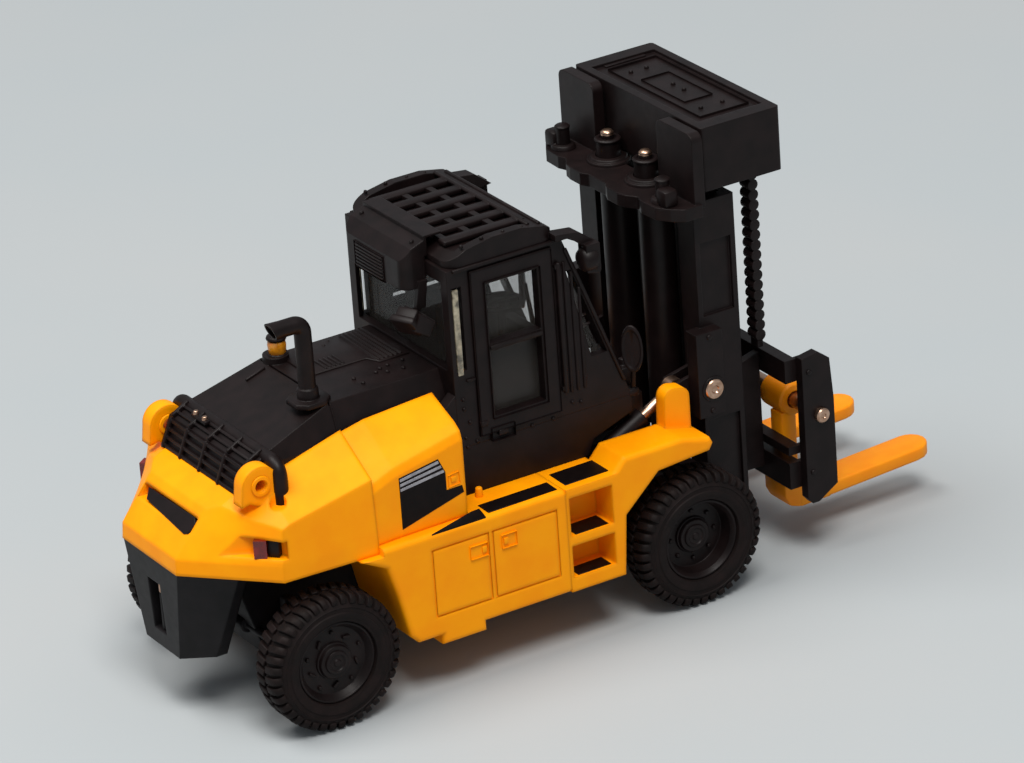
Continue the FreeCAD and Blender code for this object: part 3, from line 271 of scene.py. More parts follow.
def facing_y(x, z, y):
    """Spot for an outline drawn in X and Z and extruded along Y."""
    return x, y, z


def facing_z(x, y, z):
    """Spot for an outline drawn in X and Y and extruded along Z."""
    return x, y, z


def rectangle(left, right, low, high):
    """Corners of an upright rectangle."""
    return [(left, low), (right, low), (right, high), (left, high)]


def box_mm(node):
    """Lowest and highest corner of a CAD node."""
    low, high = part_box(node)
    return Vector(low) / MM, Vector(high) / MM


def finish_piece(name, maker, body, slot, finish=None, replaces=()):
    """Turn a bmesh in millimetres into a named piece that rides on a body."""
    bmesh.ops.scale(maker, vec=(MM, MM, MM), verts=maker.verts)
    bmesh.ops.remove_doubles(maker, verts=maker.verts, dist=0.002 * MM)
    bmesh.ops.recalc_face_normals(maker, faces=maker.faces)
    mesh = bpy.data.meshes.new(name)
    maker.to_mesh(mesh)
    maker.free()
    mesh.shade_smooth()
    mesh.set_sharp_from_angle(angle=SMOOTH_BELOW)
    mesh.materials.append(finish or FINISHES[slot])
    thing = bpy.data.objects.new(name, mesh)
    bpy.context.collection.objects.link(thing)
    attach(thing, body)
    if replaces:
        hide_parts(*replaces)


def round_edges(maker, edges, offset, segments):
    """Round the given edges."""
    bmesh.ops.bevel(maker, geom=list(edges), offset=offset, segments=segments, affect="EDGES",
                    profile=0.5, material=-1)


def soften(maker, verts, offset, segments=2):
    """Round the edges that meet the given corners."""
    round_edges(maker, {edge for vert in verts for edge in vert.link_edges}, offset, segments)


def raise_faces(maker, faces, spot, low, high):
    """Extrude flat faces from low to high; returns the corners of the raised end."""
    grown = bmesh.ops.extrude_face_region(maker, geom=faces)["geom"]
    raised = [item for item in grown if isinstance(item, bmesh.types.BMVert)]
    bmesh.ops.translate(maker, verts=raised,
                        vec=Vector(spot(0, 0, high)) - Vector(spot(0, 0, low)))
    return raised


def block(maker, centre, size, edge=0.08, turn=None):
    """A block with softened edges, turned about its centre when a turn is given."""
    place = Matrix.Translation(centre) @ (turn or Matrix()) @ Matrix.Diagonal((*size, 1))
    cube = bmesh.ops.create_cube(maker, size=1, matrix=place)
    soften(maker, cube["verts"], edge)


def prism(maker, corners, spot, low, high, edge=0.08, segments=2):
    """An outline of (u, v) corners extruded from low to high; spot places (u, v, height)."""
    verts = [maker.verts.new(spot(u, v, low)) for u, v in corners]
    raised = raise_faces(maker, [maker.faces.new(verts)], spot, low, high)
    if edge:
        soften(maker, verts + raised, edge, segments)


def rim(maker, corners, spot, low, high, width, edge=0.05):
    """A closed frame of the given width inside an outline, extruded from low to high."""
    outer = maker.faces.new([maker.verts.new(spot(u, v, low)) for u, v in corners])
    bmesh.ops.inset_region(maker, faces=[outer], thickness=width, use_boundary=True,
                           use_even_offset=True)
    band = list({face for vert in outer.verts for face in vert.link_faces if face is not outer})
    bmesh.ops.delete(maker, geom=[outer], context="FACES_ONLY")
    raised = raise_faces(maker, band, spot, low, high)
    crests = {line for vert in raised for line in vert.link_edges
              if all(end in raised for end in line.verts) and line.calc_face_angle(0) > 0.5}
    round_edges(maker, crests, edge, 2)


def rod(maker, start, end, radius, end_radius=None, edge=0.0, sides=24):
    """A round bar between two points, with softened rims when edge is given."""
    run = Vector(end) - Vector(start)
    place = Matrix.Translation((Vector(start) + Vector(end)) / 2) @ run.to_track_quat(
        "Z", "Y").to_matrix().to_4x4()
    cone = bmesh.ops.create_cone(maker, cap_ends=True, segments=sides, radius1=radius,
                                 radius2=end_radius or radius, depth=run.length, matrix=place)
    if edge:
        ends = {line for vert in cone["verts"] for line in vert.link_edges
                if any(len(face.verts) > 4 for face in line.link_faces)}
        round_edges(maker, ends, edge, 3)


def turned(maker, profile, centre, axis, steps=40, closed=False):
    """Spin (radius, along) points about an axis through the centre."""
    across = Z if abs(axis.z) < 0.5 else X
    verts = [maker.verts.new(Vector(centre) + across * r + axis * along) for r, along in profile]
    following = verts[1:] + verts[:1] if closed else verts[1:]
    edges = [maker.edges.new(pair) for pair in zip(verts, following)]
    bmesh.ops.spin(maker, geom=verts + edges, cent=centre, axis=axis, angle=math.tau,
                   steps=steps, use_merge=True)


def new_ring(grown):
    """Corners and edges of the last ring in freshly grown geometry."""
    verts = [item for item in grown if isinstance(item, bmesh.types.BMVert)]
    edges = [item for item in grown if isinstance(item, bmesh.types.BMEdge)
             and all(vert in verts for vert in item.verts)]
    return verts, edges


def pipe_mouth(maker, centre, radius, segments):
    """A flat ring of edges that a pipe is pulled from."""
    ring = bmesh.ops.create_circle(maker, segments=segments, radius=radius,
                                   matrix=Matrix.Translation(centre))["verts"]
    return list({edge for vert in ring for edge in vert.link_edges})


def pull(maker, edges, shift):
    """Extrude a ring of edges by a vector; returns the new corners and edges."""
    verts, edges = new_ring(bmesh.ops.extrude_edge_only(maker, edges=edges)["geom"])
    bmesh.ops.translate(maker, verts=verts, vec=shift)
    return verts, edges


def bend_pipe(maker, verts, edges, centre, axis, degrees, steps):
    """Spin a ring round a bend; returns the last corners and edges."""
    return new_ring(bmesh.ops.spin(maker, geom=verts + edges, cent=centre, axis=axis,
                                   angle=math.radians(degrees), steps=steps)["geom_last"])


def middle_of(verts):
    """Mean place of some corners."""
    return sum((vert.co for vert in verts), Vector()) / len(verts)


def scale_about(maker, verts, centre, factors):
    """Scale corners about a point."""
    bmesh.ops.scale(maker, vec=factors, verts=verts, space=Matrix.Translation(-centre))


def ringed(maker, count, centre, axis, build_one):
    """Repeat one shape evenly round an axis."""
    before = set(maker.verts)
    build_one()
    fresh = [vert for vert in maker.verts if vert not in before]
    geometry = list({item for vert in fresh
                     for item in (vert, *vert.link_edges, *vert.link_faces)})
    step = math.tau / count
    bmesh.ops.spin(maker, geom=geometry, cent=centre, axis=axis, angle=step * (count - 1),
                   steps=count - 1, use_duplicate=True)


# ---------------------------------------------------------------- wheels

LUG_COUNT = 40
LUG_WIDTH = 0.62
LUG_TWIST = math.radians(11)
RIM_INSET = 0.55
DISH = {"front": 1.5, "rear": 0.525}


def wheel_place(word, name):
    """Hub point on the wheel axis, tyre radius, and the inner and outer |Y| of the tyre."""
    low, high = box_mm(f"{word}_{name}_tyre")
    hub = Vector(((low.x + high.x) / 2, 0, (low.z + high.z) / 2))
    reach = sorted((abs(low.y), abs(high.y)))
    return hub, (high.z - low.z) / 2, reach[0], reach[1]


def shoulder_lug(maker, hub, radius, middle, edge, twist):
    """One tread block that runs from the tread centre round the shoulder."""
    way = 1 if edge > middle else -1
    outline = [(middle + 0.10 * way, -0.55), (middle + 0.10 * way, -0.05),
               (edge - 0.9 * way, 0), (edge - 0.42 * way, -0.12), (edge - 0.14 * way, -0.45),
               (edge - 0.1 * way, -0.85), (edge - 0.45 * way, -1.0)]
    before = set(maker.verts)
    prism(maker, [(y, hub.z + radius + z) for y, z in outline], facing_x,
          hub.x - LUG_WIDTH / 2, hub.x + LUG_WIDTH / 2, edge=0.06, segments=1)
    fresh = [vert for vert in maker.verts if vert not in before]
    bmesh.ops.rotate(maker, verts=fresh, cent=(hub.x, (middle + edge) / 2, hub.z),
                     matrix=Matrix.Rotation(twist, 3, "Z"))


def tyre(word, side, name):
    """Rubber tyre: stepped sidewalls and two staggered rows of shoulder lugs."""
    hub, radius, inner, outer = wheel_place(word, name)
    maker = bmesh.new()
    flank = [(3.85, 0.5), (3.95, 0.2), (4.25, 0.14), (4.4, 0.02), (4.75, 0.0), (4.86, 0.1),
             (5.2, 0.12), (5.28, 0.05), (5.36, 0.13), (radius - 0.9, 0.2),
             (radius - 0.45, 0.6), (radius - 0.32, 1.2)]
    profile = [(r, side * (outer - inset)) for r, inset in flank]
    profile += [(r, side * (inner + inset)) for r, inset in reversed(flank)]
    turned(maker, profile, hub, Y, steps=72, closed=True)
    middle = side * (inner + outer) / 2
    for edge, twist in ((side * outer, LUG_TWIST), (side * inner, -LUG_TWIST)):
        ringed(maker, LUG_COUNT, hub, Y,
               lambda: shoulder_lug(maker, hub, radius, middle, edge, twist))
        bmesh.ops.rotate(maker, verts=maker.verts, cent=hub,
                         matrix=Matrix.Rotation(math.pi / LUG_COUNT, 3, "Y"))
    finish_piece(f"{word}_{name}_treaded_tyre", maker, f"{name}_wheels", "tyre_rubber",
                 replaces=[f"{word}_{name}_tyre"])


def rim_fittings(word, side, name):
    """Lip ring, wheel nuts, hub ring and hub cap on the rim."""
    hub, _, _, outer = wheel_place(word, name)
    lip = outer - RIM_INSET
    disc = lip - DISH[name]
    maker = bmesh.new()
    turned(maker, [(3.35, side * (lip - 0.3)), (3.5, side * lip), (3.62, side * (lip + 0.16)),
                   (3.8, side * (lip + 0.12)), (3.86, side * (lip - 0.1))], hub, Y, steps=64)
    nuts, ring_radius, nut = (8, 2.35, 0.26) if name == "front" else (5, 2.72, 0.24)
    ringed(maker, nuts, hub, Y, lambda: rod(
        maker, hub + Vector((0, side * (disc - 0.1), ring_radius)),
        hub + Vector((0, side * (disc + 0.24), ring_radius)), nut, nut * 0.8, edge=0.05, sides=6))
    cap = disc + 0.55
    turned(maker, [(1.78, side * (disc - 0.05)), (1.72, side * (disc + 0.2)),
                   (1.5, side * (disc + 0.26)), (1.42, side * (disc + 0.1))], hub, Y)
    turned(maker, [(1.15, side * (cap - 0.1)), (1.08, side * (cap + 0.16)),
                   (0.8, side * (cap + 0.22)), (0.7, side * (cap + 0.1)),
                   (0.35, side * (cap + 0.12)), (0.3, side * (cap + 0.24)),
                   (0, side * (cap + 0.26))], hub, Y)
    if name == "rear":
        ringed(maker, 5, hub, Y, lambda: block(
            maker, hub + Vector((1.38, side * (disc + 0.12), 1.9)), (0.75, 0.3, 0.28), edge=0.07))
    finish_piece(f"{word}_{name}_rim_fittings", maker, f"{name}_wheels", "black_plastic")


for word, side in SIDES:
    for name in ("front", "rear"):
        tyre(word, side, name)
        rim_fittings(word, side, name)


# ---------------------------------------------------------------- hood and counterweight

HOOD_TOP = 27.3
HOOD_SPLIT = -23.3
EXHAUST_FOOT = Vector((-24.5, -4.5, HOOD_TOP))
GRILLE_FOOT = Vector((-33.3, 0, 21.4))
GRILLE_BEND = Vector((-32.2, 0, 24.0))
GRILLE_RIDGE = Vector((-30.5, 0, 24.9))
GRILLE_HALF = 6.75


def slanted_bar(maker, start, end, thick, proud, half_wide):
    """A bar in the XZ plane that lies on the line from start to end and spans half_wide in Y."""
    run = end - start
    up = Vector((-run.z, 0, run.x)).normalized()
    outline = [start - up * 0.15, end - up * 0.15, end + up * proud, start + up * proud]
    middle = (start + end) / 2
    prism(maker, [(p.x, p.z) for p in outline], facing_y, middle.y - half_wide,
          middle.y + half_wide, edge=thick)


def rear_grille():
    """Slatted grille across the falling rear of the hood."""
    maker = bmesh.new()
    lower = GRILLE_BEND - GRILLE_FOOT
    upper = GRILLE_RIDGE - GRILLE_BEND
    starts = [GRILLE_FOOT + lower * share for share in (0.03, 0.3, 0.57, 0.84)]
    starts += [GRILLE_BEND + upper * share for share in (0.22, 0.62)]
    for index, start in enumerate(starts):
        along = (lower if index < 4 else upper).normalized()
        slanted_bar(maker, start, start + along * 0.3, 0.06, 0.3, GRILLE_HALF)
    for y in (-GRILLE_HALF + 0.2, -3.3, 0.1, 3.5, GRILLE_HALF - 0.2):
        across = Vector((0, y, 0))
        slanted_bar(maker, GRILLE_FOOT + across, GRILLE_BEND + across, 0.08, 0.42, 0.17)
        slanted_bar(maker, GRILLE_BEND + across, GRILLE_RIDGE + across, 0.08, 0.42, 0.17)
    finish_piece("rear_grille_slats", maker, "truck", "black_plastic")


def hood_fittings():
    """Raised lid panel, louvres, hinge rivets, the split seam and the catch on the ridge."""
    maker = bmesh.new()
    top = HOOD_TOP
    prism(maker, [(-21.9, -0.3), (-21.9, 5.7), (-12.5, 5.7), (-12.5, -1.7), (-15.6, -1.7),
                  (-16.2, -0.3)], facing_z, top - 0.1, top + 0.14, edge=0.06)
    for row in range(6):
        x = -15.5 + row * 0.46
        block(maker, (x, 2.1, top + 0.18), (0.2, 7.0, 0.2), edge=0.05)
    for row in range(5):
        block(maker, (-20.1 + row * 0.45, 1.0, top + 0.18), (0.18, 2.1, 0.2), edge=0.05)
    for x, y in ((-19.2, -3.3), (-19.0, -4.6), (-17.0, -3.4), (-16.3, -2.9), (-15.4, -2.7),
                 (-16.1, -3.9), (-14.6, -4.1), (-13.8, -2.6), (-17.7, 4.6), (-16.9, 5.2)):
        rod(maker, (x, y, top - 0.05), (x, y, top + 0.2), 0.22, 0.15, edge=0.05, sides=12)
    for side in (-1, 1):
        block(maker, (HOOD_SPLIT, side * 7.4, 22.8), (0.22, 0.14, 2.4), edge=0.04)
        rod(maker, (HOOD_SPLIT, side * 7.4, 24.0), (HOOD_SPLIT, side * 6.15, 27.2), 0.1, sides=8)
    block(maker, (-24.9, 4.3, 26.85), (2.1, 0.28, 0.3), edge=0.08,
          turn=Matrix.Rotation(math.radians(-18), 4, "Y"))
    block(maker, (-31.35, 3.0, 24.9), (0.6, 2.6, 0.4), edge=0.1)
    finish_piece("hood_lid_fittings", maker, "truck", "black_plastic")
    maker = bmesh.new()
    for y in (3.8, 2.2):
        rod(maker, (-31.35, y, 25.0), (-31.35, y, 25.42), 0.3, 0.24, edge=0.1, sides=16)
    finish_piece("hood_catch_pins", maker, "truck", "steel")


def exhaust_pipe():
    """Exhaust stack: flange, collar, straight pipe, tight elbow and a slanted, flared open end."""
    low, high = box_mm("exhaust_stack")
    centre = EXHAUST_FOOT
    radius, bend = 0.78, 0.85
    elbow = high.z - radius - bend - 0.06
    maker = bmesh.new()
    edges = pipe_mouth(maker, centre, radius, 28)
    verts, edges = pull(maker, edges, Z * (elbow - centre.z))
    verts, edges = bend_pipe(maker, verts, edges, (centre.x - bend, centre.y, elbow), Y, -92, 12)
    bend_end = centre.x - bend
    tip = low.x + 0.35
    for reach, flare in ((0.55, 1.0), (1.0, 1.14)):
        middle = middle_of(verts)
        goal = Vector((bend_end + (tip - bend_end) * reach, middle.y, middle.z))
        verts, edges = pull(maker, edges, goal - middle)
        scale_about(maker, verts, goal, (1, flare, flare))
    bmesh.ops.rotate(maker, verts=verts, cent=goal,
                     matrix=Matrix.Rotation(math.radians(-20), 3, "Y"))
    verts, edges = pull(maker, edges, Vector())
    scale_about(maker, verts, middle_of(verts), (0.78, 0.78, 0.78))
    verts, edges = pull(maker, edges, X * 0.9)
    bmesh.ops.contextual_create(maker, geom=verts)
    flange = [(-1.75, -0.9), (-0.9, -1.7), (0.9, -1.7), (1.75, -0.9), (1.75, 0.9), (0.9, 1.7),
              (-0.9, 1.7), (-1.75, 0.9)]
    prism(maker, [(centre.x + x, centre.y + y) for x, y in flange], facing_z, HOOD_TOP - 0.2,
          HOOD_TOP + 0.3, edge=0.1)
    rod(maker, centre, centre + Z * 1.3, radius + 0.22, radius + 0.16, edge=0.15)
    finish_piece("bent_exhaust_stack", maker, "truck", "black_plastic", replaces=["exhaust_stack"])


def beacon():
    """Amber dome on a black foot, with a black cap."""
    low, high = box_mm("beacon_lens")
    centre = Vector(((low.x + high.x) / 2 + 0.2, (low.y + high.y) / 2, low.z))
    maker = bmesh.new()
    turned(maker, [(0, 0), (0.72, 0), (0.8, 0.12), (0.86, 0.9), (0.8, 1.25), (0.6, 1.42),
                   (0, 1.45)], centre, Z)
    finish_piece("beacon_dome", maker, "truck", "amber_lens", replaces=["beacon_lens"])
    maker = bmesh.new()
    turned(maker, [(0, 1.4), (0.88, 1.36), (0.94, 1.5), (0.86, 1.68), (0.5, 1.85), (0, 1.9)],
           centre, Z)
    turned(maker, [(0, -0.1), (0.95, -0.1), (0.98, 0.0), (0.9, 0.1), (0, 0.1)], centre, Z)
    finish_piece("beacon_cap_and_foot", maker, "truck", "black_plastic")


CW_REAR_EDGE = Vector((-39.2, 0, 16.5))
CW_SLOPE = Vector((4.3, 0, 5))
LIFTING_EYE = (-32.3, 0, 23.05)


def counterweight_fittings():
    """Painted shade in the rear slot, dark lamp squares, rings of the lifting eyes, and the towing
    pin, its shank painted dark as shade.
    """
    maker = bmesh.new()
    slope = CW_SLOPE.normalized()
    outward = slope.cross(Y)
    # A dark fill sunk into the rear slot, nearly level with the slope: painted shade of the slot's
    # hollow.
    prism(maker, [(3.9, 4.0), (-4.3, 4.1), (-4.8, 3.7), (-4.7, 2.6), (-4.1, 2.35), (3.3, 3.0)],
          lambda y, climb, proud: CW_REAR_EDGE + Y * y + slope * climb + outward * proud,
          -0.6, 0.03, edge=0.02, segments=1)
    for side in (-1, 1):
        corners = [(-33.1, 10.75), (-32.4, 11.55), (-31.9, 11.2), (-32.6, 10.3)]
        prism(maker, [(x, side * y) for x, y in corners], facing_z, 17.15, 18.75, edge=0.06)
    finish_piece("counterweight_slot_shade_and_lamp_squares", maker, "truck", "black_plastic")
    maker = bmesh.new()
    for side in (-1, 1):
        for face, way in ((7.5, -1), (9.1, 1)):
            ring = [(0.95, 0), (0.9, 0.12), (0.62, 0.14), (0.56, 0)]
            turned(maker, [(radius, side * (face + way * proud)) for radius, proud in ring],
                   LIFTING_EYE, Y, steps=28)
    finish_piece("lifting_eye_rings", maker, "truck", "yellow_paint", THIN_ENAMEL)
    low, high = box_mm("towing_pin")
    x, y = (low.x + high.x) / 2, (low.y + high.y) / 2
    # The pin's shank is painted dark grey as the shade inside the slot; only its head keeps the
    # steel finish.
    maker = bmesh.new()
    rod(maker, (x, y, low.z), (x, y, high.z - 1.3), 0.42, edge=0.08)
    finish_piece("towing_pin_shaded_shank", maker, "truck", "dark_grey_paint")
    maker = bmesh.new()
    rod(maker, (x, y, high.z - 1.35), (x, y, high.z), 0.45, edge=0.12)
    finish_piece("towing_pin_head", maker, "truck", "steel", replaces=["towing_pin"])


rear_grille()
hood_fittings()
exhaust_pipe()
beacon()
counterweight_fittings()


# ---------------------------------------------------------------- side panels and steps

COVER_REAR = Vector((-20.9, 12.30))
COVER_SLANT = (12.15 - 12.30) / 7.1
TANK_TOP = 15.7
TANK_FACE = 13.5


def lay_on_cover(maker, side):
    """Move a flat shape drawn in X and Z, with its height in Y, onto the slanted side cover."""
    slant = Matrix.Identity(4)
    slant[1][0] = side * COVER_SLANT
    slant[1][1] = side
    slant[1][3] = side * (COVER_REAR.y - COVER_SLANT * COVER_REAR.x)
    bmesh.ops.transform(maker, matrix=slant, verts=maker.verts)


def side_panel(word, side):
    """Black printed panel with three silver stripes and a yellow catch."""
    maker = bmesh.new()
    prism(maker, [(-20.5, 21.35), (-20.5, 16.4), (-14.0, 18.05), (-14.15, 18.75), (-15.75, 18.75),
                  (-15.75, 20.5), (-16.4, 21.95)], facing_y, -0.02, 0.035, edge=0.015, segments=1)
    lay_on_cover(maker, side)
    finish_piece(f"{word}_black_side_panel", maker, "truck", "black_plastic", BLACK_PRINT)
    maker = bmesh.new()
    for row in range(3):
        left = 21.22 - row * 0.46
        right = 21.8 - row * 0.5
        end = -16.45 + row * 0.24
        prism(maker, [(-20.42, left), (-20.42, left - 0.26), (end + 0.1, right - 0.27),
                      (end, right)], facing_y, 0.02, 0.06, edge=0.01, segments=1)
    lay_on_cover(maker, side)
    finish_piece(f"{word}_silver_stripes", maker, "truck", "steel", SILVER_PRINT)
    maker = bmesh.new()
    square = [(-15.55, 18.95), (-14.35, 19.05), (-14.45, 20.2), (-15.55, 20.1)]
    rim(maker, square, facing_y, -0.02, 0.12, 0.22, edge=0.04)
    block(maker, (-15.0, 0.04, 19.6), (0.5, 0.16, 0.5), edge=0.05)
    lay_on_cover(maker, side)
    finish_piece(f"{word}_side_panel_catch", maker, "truck", "yellow_paint", THIN_ENAMEL)


def tank_fittings(word, side):
    """Anti-slip pads, tank door catches and the small peg beside the cab."""
    maker = bmesh.new()
    pads = [
        ([(-12.15, 11.1), (-4.9, 11.0), (-4.95, 12.85), (-12.2, 13.0)], TANK_TOP),
        ([(-3.9, 9.8), (1.2, 9.7), (1.2, 12.5), (-3.95, 12.6)], TANK_TOP),
        ([(-3.6, 11.2), (-0.1, 11.1), (-0.1, 13.2), (-3.6, 13.25)], 11.0),
        ([(-3.6, 11.6), (-0.1, 11.5), (-0.1, 13.2), (-3.6, 13.25)], 7.0)]
    for corners, height in pads:
        prism(maker, [(x, side * y) for x, y in corners], facing_z, height - 0.05, height + 0.07,
              edge=0.03, segments=1)
    wedge = [(-18.3, 13.4), (-13.6, 12.35), (-12.7, 12.3), (-12.7, 13.4)]
    prism(maker, [(x, side * y) for x, y in wedge],
          lambda x, y, lift: (x, y, 16.0 - 0.36 * (abs(y) - 12.35) + lift), -0.5, 0.07, edge=0.03,
          segments=1)
    finish_piece(f"{word}_anti_slip_pads", maker, "truck", "black_plastic", BLACK_PRINT)
    maker = bmesh.new()
    for left, right, low, high, shut in ((-14.65, -12.85, 12.1, 13.35, -13.2),
                                         (-11.4, -9.85, 12.2, 13.5, -10.95)):
        rim(maker, rectangle(left, right, low, high), facing_y, side * (TANK_FACE - 0.05),
            side * (TANK_FACE + 0.18), 0.2, edge=0.05)
        block(maker, (shut, side * (TANK_FACE + 0.04), (low + high) / 2), (0.45, 0.24, 0.6),
              edge=0.05)
    rod(maker, (-11.0, side * 9.5, TANK_TOP - 0.1), (-11.0, side * 9.5, TANK_TOP + 0.9), 0.38,
        0.3, edge=0.15, sides=16)
    finish_piece(f"{word}_tank_catches_and_peg", maker, "truck", "yellow_paint", THIN_ENAMEL)


for word, side in SIDES:
    side_panel(word, side)
    tank_fittings(word, side)


# ---------------------------------------------------------------- guard bar, cab and roof

CAB_FACE = 8.9
DOOR_MIDDLE = -5.75
REAR_LAMP_AIM = (Matrix.Rotation(math.radians(24), 4, "Z")
                 @ Matrix.Rotation(math.radians(-38), 4, "Y"))


def guard_bar():
    """Round bar on the ridge of the grille: a straight run whose ends curl down in front."""
    maker = bmesh.new()
    radius, bend, half, ridge, foot = 0.7, 1.2, 9.0, 24.45, 19.4
    x = -30.35
    edges = pipe_mouth(maker, (x, half, foot), radius, 20)
    verts, edges = pull(maker, edges, Z * (ridge - bend - foot))
    verts, edges = bend_pipe(maker, verts, edges, (x, half - bend, ridge - bend), X, 90, 8)
    verts, edges = pull(maker, edges, Y * -2 * (half - bend))
    verts, edges = bend_pipe(maker, verts, edges, (x, bend - half, ridge - bend), X, 90, 8)
    pull(maker, edges, Z * (foot - ridge + bend))
    finish_piece("bent_grille_bar", maker, "truck", "black_plastic", replaces=["grille_guard_bar"])


def cab_side(word, side):
    """Door and window frames, window ribs, bars, handle, rivets, gutter, trim, and a pane edge
    whose pale colour is a painted highlight.
    """
    maker = bmesh.new()
    face = CAB_FACE
    rim(maker, rectangle(-8.63, -2.87, 22.27, 35.43), facing_y, side * (face - 0.05),
        side * (face + 0.2), 0.3, edge=0.07)
    rim(maker, rectangle(-9.9, -1.6, 21.0, 36.7), facing_y, side * (face - 0.05),
        side * (face + 0.12), 0.22, edge=0.05)
    block(maker, (DOOR_MIDDLE, side * face, 29.1), (5.4, 0.4, 0.42), edge=0.1)
    for x, top in ((-0.3, 35.0), (0.4, 33.8), (1.1, 32.2)):
        rod(maker, (x, side * 8.72, 22.4), (x, side * 8.72, top), 0.16, edge=0.06, sides=12)
    rod(maker, (-1.0, side * (face + 0.05), 22.6), (-1.0, side * (face + 0.05), 35.2), 0.24,
        edge=0.1, sides=12)
    for z in (23.0, 34.8):
        block(maker, (-1.0, side * (face - 0.1), z), (0.7, 0.4, 0.5), edge=0.1)
    rim(maker, rectangle(-8.9, -6.5, 20.15, 21.45), facing_y, side * (face - 0.2),
        side * (face + 0.16), 0.28, edge=0.06)
    block(maker, (-7.7, side * (face - 0.02), 20.8), (1.0, 0.3, 0.5), edge=0.08)
    block(maker, (-9.6, side * (face - 0.1), 22.1), (0.8, 0.4, 0.55), edge=0.1)
    for x, z in ((-11.4, 24.9), (-11.4, 24.0), (-11.4, 21.2), (-11.3, 20.3), (-10.3, 20.6),
                 (-10.9, 22.6), (-0.3, 21.4), (0.6, 21.2), (-2.4, 20.4), (-4.6, 20.4)):
        rod(maker, (x, side * 8.65, z), (x, side * 8.86, z), 0.22, 0.15, edge=0.05, sides=12)
    prism(maker, rectangle(-11.6, -1.3, 37.0, 37.35), facing_y, side * 8.6, side * 8.95,
          edge=0.12)
    rod(maker, (-0.1, side * 8.75, 36.2), (5.2, side * 8.75, 22.0), 0.2, edge=0.08, sides=12)
    block(maker, (-10.5, side * (face - 0.15), 26.6), (0.9, 0.3, 0.25), edge=0.06)
    finish_piece(f"{word}_cab_side_fittings", maker, "truck", "black_plastic")
    maker = bmesh.new()
    block(maker, (DOOR_MIDDLE, side * 7.2, 25.3), (6.4, 0.5, 6.6), edge=0.15)
    block(maker, (DOOR_MIDDLE, side * 6.9, 28.4), (6.4, 1.1, 0.7), edge=0.2)
    finish_piece(f"{word}_door_inner_trim", maker, "truck", "black_plastic", CAB_INTERIOR)
    # Pale cream edge of the quarter pane: a painted highlight.
    maker = bmesh.new()
    block(maker, (-11.42, side * 8.6, 31.3), (0.6, 0.3, 8.2), edge=0.1)
    finish_piece(f"{word}_quarter_window_painted_highlight_edge", maker, "truck", "clear_window", PANE_EDGE_PAINTED_HIGHLIGHT)


def roof_fittings():
    """Roof front rails, rim screws, grille bars, and the frame and louvres of the cooler."""
    maker = bmesh.new()
    for x, z in ((-3.15, 39.05), (-2.0, 38.85)):
        rod(maker, (x, -7.9, z), (x, 7.9, z), 0.2, edge=0.08, sides=12)
    for side in (-1, 1):
        for x, z in ((-10.2, 39.05), (-8.1, 39.3), (-5.9, 39.3), (-4.0, 39.2)):
            rod(maker, (x, side * 8.2, z - 0.15), (x, side * 8.2, z + 0.12), 0.2, 0.14,
                edge=0.05, sides=12)
    for row in range(6):
        block(maker, (-6.9, (row - 2.5) * 2.4, 38.86), (8.0, 1.15, 0.5), edge=0.16)
    rear = box_mm("ac_unit")[0].x
    for row in range(7):
        block(maker, (rear + 0.62, 0.6, 35.0 + row * 0.33), (0.3, 4.6, 0.16), edge=0.05)
    rim(maker, rectangle(-1.9, 3.1, 34.75, 37.25), facing_x, rear + 0.75, rear + 0.5, 0.2,
        edge=0.05)
    for y in (-4.3, 4.3):
        rod(maker, (-12.9, y, 38.4), (-12.9, y, 39.15), 0.25, 0.2, edge=0.06, sides=12)
    finish_piece("roof_and_air_conditioner_fittings", maker, "truck", "black_plastic")


def work_lamps():
    """Round bezels and clear glasses of the front lamps, and the block of the rear lamp."""
    bezels = bmesh.new()
    glasses = bmesh.new()
    for side in (-1, 1):
        centre = Vector((2.1, side * 9.5, 34.95))
        turned(bezels, [(1.0, -0.9), (1.12, -0.7), (1.15, 0.1), (1.1, 0.24), (0.98, 0.26),
                        (0.92, 0.1)], centre, X, steps=32)
        turned(bezels, [(0, -1.2), (0.6, -1.15), (0.9, -1.05), (1.0, -0.9)], centre, X, steps=32)
        turned(glasses, [(0, 0.2), (0.5, 0.18), (0.8, 0.13), (0.94, 0.05)], centre, X, steps=32)
    block(bezels, (-14.7, -6.1, 32.7), (1.5, 2.2, 2.0), edge=0.3, turn=REAR_LAMP_AIM)
    block(bezels, (-15.15, -6.3, 32.35), (0.7, 2.5, 2.3), edge=0.2, turn=REAR_LAMP_AIM)
    finish_piece("work_lamp_bezels", bezels, "truck", "black_plastic")
    finish_piece("work_lamp_glasses", glasses, "truck", "clear_window")


